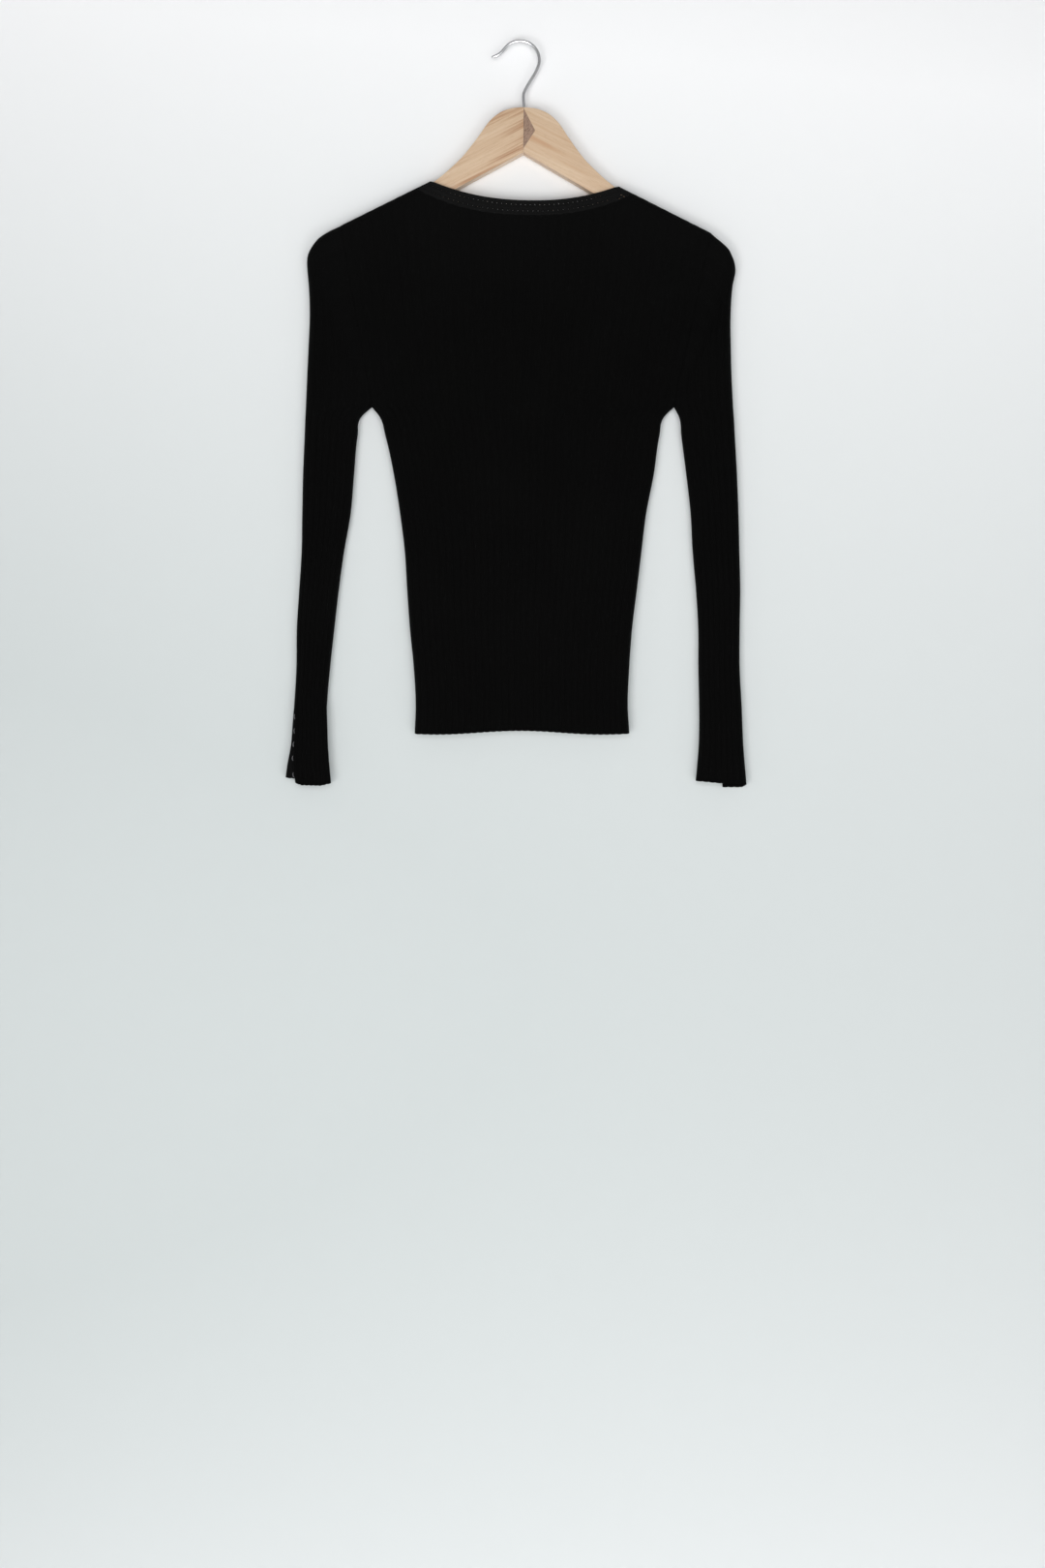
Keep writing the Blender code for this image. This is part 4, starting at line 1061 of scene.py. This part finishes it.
def make_button(name, side, z, shell, rim_metal):
    """A glossy domed button in a thin metal rim, half under the slit's upper edge."""
    face = NEAR if side == LEFT else FAR
    _, _, cover = strip_edges(side, z)
    x = float(cover) + CUFF[side]["button_inset"]
    y = float(wave(x, z, "sleeve")) + face * (UNDER_DEPTH + SEAM)
    disc = BUTTON_THICK * DISC_SHARE
    select_none()
    bpy.ops.mesh.primitive_cylinder_add(
        vertices=40, radius=BUTTON_RADIUS, depth=disc, location=(x, y + face * disc / 2, z),
        rotation=(math.pi / 2 * -face, 0.0, 0.0),
    )
    button = bpy.context.active_object
    button.name = button.data.name = name
    apply_all(button)
    bpy.ops.object.mode_set(mode="EDIT")
    bpy.ops.mesh.select_mode(type="FACE")
    bpy.ops.mesh.select_all(action="DESELECT")
    bpy.ops.object.mode_set(mode="OBJECT")
    for polygon in button.data.polygons:
        polygon.select = polygon.normal.y * face > 0.9
    bpy.ops.object.mode_set(mode="EDIT")
    for inset, lift in BUTTON_RINGS:
        bpy.ops.mesh.inset(thickness=inset, depth=lift)
    bpy.ops.object.mode_set(mode="OBJECT")
    turn_outwards(button)
    button.data.materials.append(shell)
    button.data.materials.append(rim_metal)
    for polygon in button.data.polygons:
        away = math.hypot(polygon.center.x - x, polygon.center.z - z)
        if away > BUTTON_RADIUS - BUTTON_RIM:
            polygon.material_index = 1
    edge = button.modifiers.new("edge", "BEVEL")
    edge.width = BUTTON_BEVEL
    edge.segments = 2
    edge.limit_method = "ANGLE"
    edge.angle_limit = math.radians(35)
    bpy.ops.object.modifier_apply(modifier=edge.name)
    shade(button, 60)
    return button


def tip_centre_z():
    """Height of the middle of an arm's round tip, in the hanger's frame."""
    last_x, last_z = ARM_CREST["x"][-1], ARM_CREST["z"][-1]
    drop = (TIP_CENTRE_X - last_x) * math.tan(ARM_SLOPE)
    return last_z - drop - TIP_RADIUS / math.cos(ARM_SLOPE)


def upper_line(x):
    """Height of an arm's crest, before the round tip, in the hanger's frame."""
    last_x, last_z = ARM_CREST["x"][-1], ARM_CREST["z"][-1]
    if x <= last_x:
        return float(smooth(x, ARM_CREST["x"], ARM_CREST["z"]))
    return last_z - (x - last_x) * math.tan(ARM_SLOPE)


def lower_line(x):
    """Height of an arm's lower edge, before the round tip, in the hanger's frame."""
    centre_z = tip_centre_z()
    reach = math.hypot(TIP_CENTRE_X, centre_z + JOINT_DEPTH)
    slope = math.atan2(-JOINT_DEPTH - centre_z, TIP_CENTRE_X) + math.asin(TIP_RADIUS / reach)
    return -JOINT_DEPTH - math.tan(slope) * x


def arm_point(share, half):
    """A point (x, z) of an arm's outline, at a share of the way from the joint to its very end.

    half is 1 on the crest and -1 on the lower edge. Both meet at the end of the round tip."""
    if share < TIP_START:
        x = (TIP_CENTRE_X - TIP_SHORT) * (share / TIP_START)
        return x, upper_line(x) if half > 0 else lower_line(x)
    turn = (share - TIP_START) / (1 - TIP_START) * (math.pi / 2)
    lean = (ARM_SLOPE + half * TIP_LEAN) * math.cos(turn) ** TIP_EASE
    angle = half * (math.pi / 2 - turn) - lean
    x = TIP_CENTRE_X + TIP_RADIUS * math.cos(angle)
    return x, tip_centre_z() + TIP_RADIUS * math.sin(angle)


def make_arm(name, side, surface):
    """One arm: a board cut to its outline, with rounded edges, square at the glued joint."""
    select_none()
    bpy.ops.mesh.primitive_grid_add(
        x_subdivisions=ARM_STEPS, y_subdivisions=1, size=1.0, location=(0, 0, 0),
        rotation=(math.pi / 2, 0.0, 0.0),
    )
    arm = bpy.context.active_object
    arm.name = arm.data.name = name
    apply_all(arm)
    for vert in arm.data.vertices:
        x, z = arm_point(vert.co.x + 0.5, 1 if vert.co.z > 0 else -1)
        vert.co = (max(x, SEAM / 2), -HANGER_THICK / 2, z)
    bpy.ops.object.mode_set(mode="EDIT")
    bpy.ops.mesh.select_all(action="SELECT")
    bpy.ops.mesh.remove_doubles(threshold=0.00005)
    bpy.ops.mesh.select_all(action="SELECT")
    bpy.ops.mesh.extrude_region_move(TRANSFORM_OT_translate={"value": (0.0, HANGER_THICK, 0.0)})
    bpy.ops.object.mode_set(mode="OBJECT")
    turn_outwards(arm)

    # The long edges of both faces are rounded, and the square edges of the joint are not.
    shape = bmesh.new()
    shape.from_mesh(arm.data)
    weight = shape.edges.layers.float.new("bevel_weight_edge")
    for edge in shape.edges:
        a, b = edge.verts[0].co, edge.verts[1].co
        turned = edge.calc_face_angle(0.0) > math.radians(60)
        along_face = abs(a.y - b.y) < 1e-6
        edge[weight] = float(turned and along_face and max(a.x, b.x) > SEAM)
    shape.to_mesh(arm.data)
    shape.free()
    rounding = arm.modifiers.new("rounding", "BEVEL")
    rounding.width = HANGER_ROUNDING
    rounding.segments = 7
    rounding.limit_method = "WEIGHT"
    rounding.use_clamp_overlap = True
    rounding.loop_slide = False
    bpy.ops.object.modifier_apply(modifier=rounding.name)
    if side == LEFT:
        arm.scale = (-1.0, 1.0, 1.0)
        apply_all(arm)
        turn_outwards(arm)
    arm.rotation_euler = (0.0, HANGER_TILT, 0.0)
    arm.location = (HANGER_TOP[0], 0.0, HANGER_TOP[1])
    apply_all(arm)
    arm.data.materials.clear()
    arm.data.materials.append(surface)
    shade(arm, 40)
    return arm


def hook_route():
    """The wire's centre line (x, z): stem, neck, crown and turned-out end."""
    arc = [
        (
            CROWN_RADIUS * math.cos(turn),
            WIRE_RADIUS - CROWN_RADIUS + CROWN_RADIUS * math.sin(turn),
        )
        for turn in np.radians(np.linspace(*HOOK_ARC, HOOK_ARC_POINTS))
    ]
    way = np.array([*HOOK_LEAD, *arc, *HOOK_END])
    length = lengths_along(way, 0)
    at = np.linspace(0.0, length[-1], HOOK_POINTS)
    bent = np.stack([smooth(at, length, way[:, 0]), smooth(at, length, way[:, 1])], axis=-1)
    return [(STEM_X, STEM_FOOT), *bent]


def make_hook(name, surface):
    """The hook, bent from one polished wire whose free end is ground round."""
    route = hook_route()
    select_none()
    bpy.ops.curve.primitive_nurbs_path_add(location=(0, 0, 0))
    hook = bpy.context.active_object
    curve = hook.data
    curve.splines.clear()
    line = curve.splines.new("POLY")
    line.points.add(len(route) - 1)
    for point, (x, z) in zip(line.points, route):
        point.co = (x, 0.0, z, 1.0)
    for k in range(HOOK_END_POINTS):
        part = (k + 0.5) / HOOK_END_POINTS
        line.points[len(route) - 1 - k].radius = math.sqrt(1 - (1 - part) ** 2)
    curve.dimensions = "3D"
    curve.bevel_depth = WIRE_RADIUS
    curve.bevel_resolution = 6
    curve.use_fill_caps = True
    select_only(hook)
    bpy.ops.object.convert(target="MESH")
    hook = bpy.context.active_object
    hook.name = hook.data.name = name
    hook.data.materials.clear()
    hook.data.materials.append(surface)
    shade(hook, 60)
    return hook


# ---------------------------------------------------------------- materials


def colour(code):
    """Linear red, green, blue and alpha of an sRGB hex colour."""
    parts = [int(code[i : i + 2], 16) / 255 for i in (1, 3, 5)]
    linear = [c / 12.92 if c <= 0.04045 else ((c + 0.055) / 1.055) ** 2.4 for c in parts]
    return (*linear, 1.0)


def start_material(name, code, **sockets):
    """A new Principled material with this base colour and these socket values.

    Returns it with its node tree and its shader."""
    made = bpy.data.materials.new(name)
    made.use_nodes = True
    shader = made.node_tree.nodes["Principled BSDF"]
    shader.inputs["Base Color"].default_value = colour(code)
    for socket, value in sockets.items():
        shader.inputs[socket.replace("_", " ")].default_value = value
    return made, made.node_tree, shader


def node(tree, kind, *inputs, **settings):
    """Adds a node with these settings and returns its outputs.

    inputs go to the sockets that are in use, in order. Each is a value, another node's output,
    or None to leave the socket as it is."""
    made = tree.nodes.new("ShaderNode" + kind)
    for setting, value in settings.items():
        setattr(made, setting, value)
    for socket, value in zip([socket for socket in made.inputs if socket.enabled], inputs):
        if isinstance(value, bpy.types.NodeSocket):
            tree.links.new(value, socket)
        elif value is not None:
            socket.default_value = value
    return made.outputs


def grown(tree, value, start, rate):
    """0 up to a start, and from there growing at a rate to 1."""
    past = node(tree, "Math", value, rate, -start * rate, operation="MULTIPLY_ADD")[0]
    return node(tree, "Clamp", past)[0]


# Noises: marks in a metre, levels of detail, and how rough each level is.
FUZZ = (1400.0, 4.0, 0.65)  # tufts of fibre 0.7 mm apart: real ones are finer and wouldn't show
SHEEN_PATCHES = (9.0, 3.0, 0.5)  # 110 mm patches of more or less painted highlight on the yarns
DRAWING_MARKS = (900.0, 3.0, 0.6)  # marks 1.1 mm apart, left on the wire as it was drawn
MOULD_MARKS = (700.0, 2.0, 0.5)  # unevenness 1.4 mm across, in a moulded or painted surface

STITCH_SLANT = 1.5  # courses by which a stitch's two legs slant across a wale
YARN = {"middle": 0.65, "wave": 0.35}  # height of the yarn, and how far it rises and dips
SHOW = {"least": 0.3, "more": 0.8}  # how much painted highlight the yarns get, more in the patches
TUFTS = {"middle": 0.45, "light": 0.9, "height": 0.45}  # what the fuzz adds to light and relief
SHOULDER_SHEEN_LIGHT = 0.35  # painted sheen added over the stretched shoulders
KNIT_BUMP = (0.55, 0.0005)  # strength, and depth in metres

BEECH_TONES = {"streaked": 0.33, "middle": 0.47, "pale": 0.66}  # places on the grain's ramp
FLECK = {"below": 0.40, "strength": 0.16}  # the noise that is fleck, and how dark it gets
BEECH_GLOSS = {"dark": 0.52, "paler": -0.12}  # roughness: the darker grain is duller
BEECH_BUMP = (0.12, 0.0002)  # strength, and depth in metres
PORES_SHARPENED = (2.4, -0.7)  # their noise is multiplied by the first and moved by the second
GLUE_LINE = 2.4  # how strongly the glue shows along the fading edge of the end grain


def knit_height(tree, wales, course):
    """Height of a plain knit on the piece's UV map: columns of V stitches.

    wales is how many stitches lie across one rib, and course the height of one in metres."""
    uv = node(tree, "UVMap", uv_map="knit")[0]
    across, along, _ = node(tree, "SeparateXYZ", uv)
    across = node(tree, "Math", across, wales, operation="MULTIPLY")[0]
    in_wale = node(tree, "Math", across, operation="FRACT")[0]
    aside = node(tree, "Math", in_wale, 0.5, operation="SUBTRACT")[0]
    aside = node(tree, "Math", aside, operation="ABSOLUTE")[0]
    up = node(tree, "Math", along, course, operation="DIVIDE")[0]
    slant = node(tree, "Math", aside, STITCH_SLANT, operation="MULTIPLY")[0]
    slanted = node(tree, "Math", up, slant, operation="SUBTRACT")[0]
    turn = node(tree, "Math", slanted, 2 * math.pi, operation="MULTIPLY")[0]
    turn = node(tree, "Math", turn, operation="SINE")[0]
    across_leg = node(tree, "Math", aside, 2 * math.pi, operation="MULTIPLY")[0]
    leg = node(tree, "Math", across_leg, operation="SINE")[0]
    yarn = node(tree, "Math", turn, YARN["wave"], YARN["middle"], operation="MULTIPLY_ADD")[0]
    return node(tree, "Math", yarn, leg, operation="MULTIPLY")[0]


def knit_material(name, base, glint, wales, course, rough):
    """Fine-gauge knit of black viscose and wool yarn, pressed but not brushed.

    The eye gets a matt black with painted highlights that go a little grey along the raised yarns
    and the fuzz, more in broad patches. Over the shoulders, where the hanger stretches it, the
    fuzz stands up and a painted sheen makes it look greyer. The stitches are drawn about 1.2 mm
    wide, half as coarse again as real ones, so that they show."""
    made, tree, shader = start_material(
        name, base, Roughness=rough, Specular_IOR_Level=0.05, Sheen_Weight=0.010,
        Sheen_Roughness=0.5, Sheen_Tint=colour("#9A9A9A"),
    )
    height = knit_height(tree, wales, course)
    place = node(tree, "TexCoord")["Object"]
    fuzz = node(tree, "TexNoise", place, *FUZZ)[0]
    # Painted highlight: the raised yarns and the fuzz get the lighter glint colour, more in broad
    # patches.
    sheen_patches = node(tree, "TexNoise", place, *SHEEN_PATCHES)[0]
    show = node(tree, "Math", sheen_patches, SHOW["more"], SHOW["least"], operation="MULTIPLY_ADD")[0]
    lit = node(tree, "Math", height, show, operation="MULTIPLY")[0]
    tufts = node(tree, "Math", fuzz, TUFTS["middle"], operation="SUBTRACT")[0]
    lit = node(tree, "Math", tufts, TUFTS["light"], lit, operation="MULTIPLY_ADD")[0]
    # Painted sheen: the colour turns greyer up over the stretched shoulders.
    z = node(tree, "SeparateXYZ", place)[2]
    shoulder_sheen = grown(tree, z, *SHOULDER_SHEEN)
    lit = node(tree, "Math", shoulder_sheen, SHOULDER_SHEEN_LIGHT, lit, operation="MULTIPLY_ADD")[0]
    mix = node(
        tree, "Mix", lit, colour(base), colour(glint), data_type="RGBA", clamp_factor=False
    )
    tree.links.new(mix[2], shader.inputs["Base Color"])
    relief = node(tree, "Math", fuzz, TUFTS["height"], height, operation="MULTIPLY_ADD")[0]
    bump = node(tree, "Bump", *KNIT_BUMP, None, relief)
    tree.links.new(bump[0], shader.inputs["Normal"])
    return made


def grain_noise(tree, place, turn, length, width, detail):
    """Noise drawn out along the grain: length and width are the size of its marks in metres."""
    laid = node(
        tree, "Mapping", place, (0.0, 0.0, 0.0), (0.0, turn, 0.0), (length, width * 2, width),
        vector_type="TEXTURE",
    )[0]
    return node(tree, "TexNoise", laid, 1.0, detail, 0.55)[0]


def end_grain_mask(tree, place):
    """1 inside the half diamond of end grain beside the joint, 0 outside it."""
    x, _, z = node(tree, "SeparateXYZ", place)
    across = node(tree, "Math", x, HANGER_TOP[0], operation="SUBTRACT")[0]
    top, middle, foot, width = END_GRAIN.values()
    above, below = (
        node(
            tree, "Math", z, 1 / (middle - end), -end / (middle - end), operation="MULTIPLY_ADD"
        )[0]
        for end in (top, foot)
    )
    reach = node(tree, "Math", above, below, operation="MINIMUM")[0]
    reach = node(tree, "Math", reach, width, operation="MULTIPLY")[0]
    inside = node(tree, "Math", reach, across, operation="SUBTRACT")[0]
    inside = node(tree, "Math", inside, END_GRAIN_EDGE, operation="DIVIDE")[0]
    return node(tree, "Clamp", inside)[0]


def add_end_grain(tree, place, finish):
    """The arm's finish with the end grain of its joint laid over it.

    There the board is cut across, so that its pores drink the lacquer and look dark and short,
    with a thin brown line of glue round them."""
    mask = end_grain_mask(tree, place)
    pores = grain_noise(tree, place, END_GRAIN_TURN, *END_GRAIN_PORES)
    pores = node(tree, "Math", pores, *PORES_SHARPENED, operation="MULTIPLY_ADD")[0]
    cut = node(tree, "Mix", pores, colour("#715747"), colour("#A98C79"), data_type="RGBA")[2]
    laid = node(tree, "Mix", mask, finish, cut, data_type="RGBA")[2]
    past = node(tree, "Math", 1.0, mask, operation="SUBTRACT")[0]
    line = node(tree, "Math", mask, past, operation="MULTIPLY")[0]
    line = node(tree, "Math", line, GLUE_LINE, operation="MULTIPLY")[0]
    return node(tree, "Mix", line, laid, colour("#6E5444"), data_type="RGBA")[2]


def beech_material(name, turn, streak, streaks, end_grain=False):
    """Beech board, planed, sanded and given a thin clear lacquer.

    The eye gets pale pinkish wood with a low gloss, short brown flecks along the grain, and
    streaks that are darker towards the hanger's top. turn is the grain's angle."""
    made, tree, shader = start_material(
        name, "#CAAD8F", Roughness=0.48, Specular_IOR_Level=0.45, Coat_Weight=0.12,
        Coat_Roughness=0.25,
    )
    place = node(tree, "TexCoord")["Object"]
    rings, bands, fleck = (grain_noise(tree, place, turn, *marks) for marks in BEECH_MARKS)
    bands = node(tree, "Math", bands, 0.50, operation="MULTIPLY")[0]
    mix = node(tree, "Math", rings, 0.50, bands, operation="MULTIPLY_ADD")[0]
    near_top = grown(tree, node(tree, "SeparateXYZ", place)[2], *STREAKED)
    darker = node(tree, "Math", near_top, streaks, operation="MULTIPLY")[0]
    mix = node(tree, "Math", mix, darker, operation="SUBTRACT")[0]
    tones = node(tree, "ValToRGB", mix)[0]
    stops = tones.node.color_ramp.elements
    stops[0].position = BEECH_TONES["streaked"]
    stops[0].color = colour(streak)
    stops[1].position = BEECH_TONES["pale"]
    stops[1].color = colour("#D5BCA0")
    stops.new(BEECH_TONES["middle"]).color = colour("#CAAD8F")
    dark = node(tree, "Math", fleck, FLECK["below"], operation="LESS_THAN")[0]
    dark = node(tree, "Math", dark, FLECK["strength"], operation="MULTIPLY")[0]
    finish = node(tree, "Mix", dark, tones, colour("#A07E5E"), data_type="RGBA")[2]
    if end_grain:
        finish = add_end_grain(tree, place, finish)
    tree.links.new(finish, shader.inputs["Base Color"])
    paler, dark = BEECH_GLOSS["paler"], BEECH_GLOSS["dark"]
    rough = node(tree, "Math", mix, paler, dark, operation="MULTIPLY_ADD")[0]
    tree.links.new(rough, shader.inputs["Roughness"])
    bump = node(tree, "Bump", *BEECH_BUMP, None, fleck)
    tree.links.new(bump[0], shader.inputs["Normal"])
    return made


def uneven(tree, shader, marks, least, more):
    """Gives a shader a roughness from least to least + more, by noise on the object."""
    noise = node(tree, "TexNoise", node(tree, "TexCoord")["Object"], *marks)[0]
    rough = node(tree, "Math", noise, more, least, operation="MULTIPLY_ADD")[0]
    tree.links.new(rough, shader.inputs["Roughness"])


def steel_material(name):
    """Drawn steel wire, nickel plated and polished.

    The eye gets a bright grey metal, slightly dulled by marks from drawing the wire."""
    made, tree, shader = start_material(name, "#E2E2E4", Metallic=1.0)
    uneven(tree, shader, DRAWING_MARKS, 0.22, 0.16)
    return made


def plain_material(name, code, rough, **sockets):
    """A moulded, plated or painted surface of one colour, whose gloss is a little uneven."""
    made, tree, shader = start_material(name, code, **sockets)
    uneven(tree, shader, MOULD_MARKS, rough - 0.05, 0.10)
    return made


# ---------------------------------------------------------------- the studio

CAMERA_AT = (0.0026, -2.295, -0.781)
LENS = 50.0
SENSOR = 36.0
WALL_Y = 0.0130
WALL_MIDDLE_Z = -0.80
WALL_SIZE = (2.6, 2.4, 1.0)
WALL_DIMMEST = 1.0  # how far below the hook the painted shade on the wall is greyest
WALL_PAINTED_LIGHT = 0.20  # how much paler the painted light makes it in a metre to the right
FLOOR_Z = -1.72
FLOOR_MIDDLE_Y = -0.6
FLOOR_SIZE = (6.0, 6.0, 1.0)
LIGHTS_AIM = (0.0, 0.0, -0.70)
# Square soft lights: name, place, size and power in watts.
LIGHTS = (
    ("front", (0.0, -2.60, -0.70), 1.30, 34.0),
    ("key", (-0.80, -2.20, -1.35), 0.70, 15.0),
    ("fill", (0.90, -2.20, -1.30), 0.80, 9.5),
    ("behind_left", (-1.00, 2.20, 0.20), 1.20, 12.0),
    ("behind_right", (1.20, 2.00, -0.90), 1.20, 8.0),
)


def wall_material(name):
    """Matt white wall paint, rolled on.

    The eye gets a flat cool white with painted shade and light: a little greyer half way down,
    as a wall lit from above looks, and paler to the right. It shows only from its front, so that
    the garment can be looked at from behind."""
    made, tree, shader = start_material(name, "#FAFAFB", Roughness=0.9, Specular_IOR_Level=0.1)
    # Painted shade and light: the paint's colour greys half way down and pales to the right, as
    # the studio light falls.
    x, _, z = node(tree, "SeparateXYZ", node(tree, "TexCoord")["Object"])
    above = node(tree, "Math", z, WALL_DIMMEST, operation="ADD")[0]
    lit = node(tree, "Math", above, above, operation="MULTIPLY")[0]
    lit = node(tree, "Math", x, WALL_PAINTED_LIGHT, lit, operation="MULTIPLY_ADD")[0]
    painted_light = node(tree, "Mix", lit, colour("#C6CBCB"), colour("#FAFAFB"), data_type="RGBA")[2]
    tree.links.new(painted_light, shader.inputs["Base Color"])
    clear = node(tree, "BsdfTransparent")[0]
    back = node(tree, "NewGeometry")["Backfacing"]
    both = node(tree, "MixShader", back, shader.outputs[0], clear)[0]
    tree.links.new(both, tree.nodes["Material Output"].inputs["Surface"])
    return made


def aim(obj, target):
    """Turns a light or camera towards a point."""
    away = np.array(obj.location) - np.array(target)
    level = math.hypot(away[0], away[1])
    obj.rotation_euler = (math.atan2(level, away[2]), 0.0, math.atan2(away[0], -away[1]))


def add_studio_plane(name, place, size, turn, surface):
    """A flat sheet of the studio, of this size, in this place and turned round X."""
    select_none()
    bpy.ops.mesh.primitive_plane_add(size=1.0, location=place, rotation=(turn, 0.0, 0.0))
    plane = bpy.context.active_object
    plane.name = name
    plane.scale = size
    apply_all(plane)
    plane.data.materials.append(surface)
    return plane


def add_studio():
    """A pale wall close behind the garment, a pale floor, and soft light from the front.

    The weaker lights, low on both sides, lay faint shadows beside the sleeves and shoulders.
    The wall casts no shadow, so that the lights behind it reach the far cloth."""
    wall = add_studio_plane(
        "studio_wall", (0.0, WALL_Y, WALL_MIDDLE_Z), WALL_SIZE, math.pi / 2,
        wall_material("studio wall paint"),
    )
    wall.visible_shadow = False
    add_studio_plane(
        "studio_floor", (0.0, FLOOR_MIDDLE_Y, FLOOR_Z), FLOOR_SIZE, 0.0,
        plain_material("studio floor", "#E4E7E7", 0.85),
    )
    for name, place, size, power in LIGHTS:
        light = bpy.data.lights.new(name, "AREA")
        light.shape = "SQUARE"
        light.size = size
        light.energy = power
        lamp = bpy.data.objects.new(name, light)
        bpy.context.scene.collection.objects.link(lamp)
        lamp.location = place
        aim(lamp, LIGHTS_AIM)
    world = bpy.data.worlds.new("studio")
    bpy.context.scene.world = world
    world.use_nodes = True
    sky = world.node_tree.nodes["Background"]
    sky.inputs["Color"].default_value = colour("#F6F8F8")
    sky.inputs["Strength"].default_value = 0.24


def add_camera():
    """The camera that sees the back of the garment square on."""
    view = bpy.data.cameras.new("camera")
    view.lens = LENS
    view.sensor_width = SENSOR
    view.clip_start, view.clip_end = 0.05, 50.0
    camera = bpy.data.objects.new("camera", view)
    bpy.context.scene.collection.objects.link(camera)
    camera.location = CAMERA_AT
    camera.rotation_euler = (math.pi / 2, 0.0, 0.0)
    bpy.context.scene.camera = camera


# ---------------------------------------------------------------- the whole


def main():
    """Makes every piece, puts it in place of its solids, and sets the studio round it."""
    bpy.context.scene.view_settings.view_transform = "Standard"
    add_camera()
    rib_knit = knit_material("black_rib_knit", "#020202", "#0C0C0C", 6.0, 0.0013, 0.92)
    trim_knit = knit_material("black_trim_knit", "#050505", "#181818", 4.0, 0.0013, 0.90)
    beech_left = beech_material("beech_left", -ARM_SLOPE, "#A67A58", 0.09)
    beech_right = beech_material("beech_right", ARM_SLOPE, "#C09A79", 0.0, end_grain=True)
    steel = steel_material("polished_steel_wire")
    # Cast polyester, polished: deep black with a sharp gloss.
    shell = plain_material("black_polyester_button", "#0A0A0B", 0.14)
    # Brass, plated gunmetal: a dark grey metal with a soft gloss.
    rim = plain_material("gunmetal_button_rim", "#59595B", 0.38, Metallic=1.0)

    for word, face, neck in (("back", NEAR, BACK_NECK), ("front", FAR, FRONT_NECK)):
        panel = dress(make_panel(f"{word}_knit", face, neck, rib_knit), "knit", word)
        band = make_neckband(f"neckband_{word}_knit", face, neck, trim_knit)
        dress(band, "trim", f"neckband_{word}")
    for side, word in SIDES:
        sleeve = make_sleeve(f"sleeve_{word}_knit", side, rib_knit)
        dress(sleeve, "knit", f"sleeve_{word}")
        placket = make_placket(f"placket_{word}_knit", side, trim_knit)
        dress(placket, "trim", f"placket_{word}")
        for number, height in enumerate(BUTTON_HEIGHTS, 1):
            button = make_button(f"cuff_button_{word}_{number}", side, height, shell, rim)
            dress(button, "button", f"button_{word}_{number}")
    for side, word, wood in ((LEFT, "left", beech_left), (RIGHT, "right", beech_right)):
        arm = make_arm(f"hanger_{word}_beech", side, wood)
        dress(arm, "wood", f"hanger_arm_{word}")
    dress(make_hook("hanger_wire_hook", steel), "steel", "hanger_hook")
    add_studio()


main()
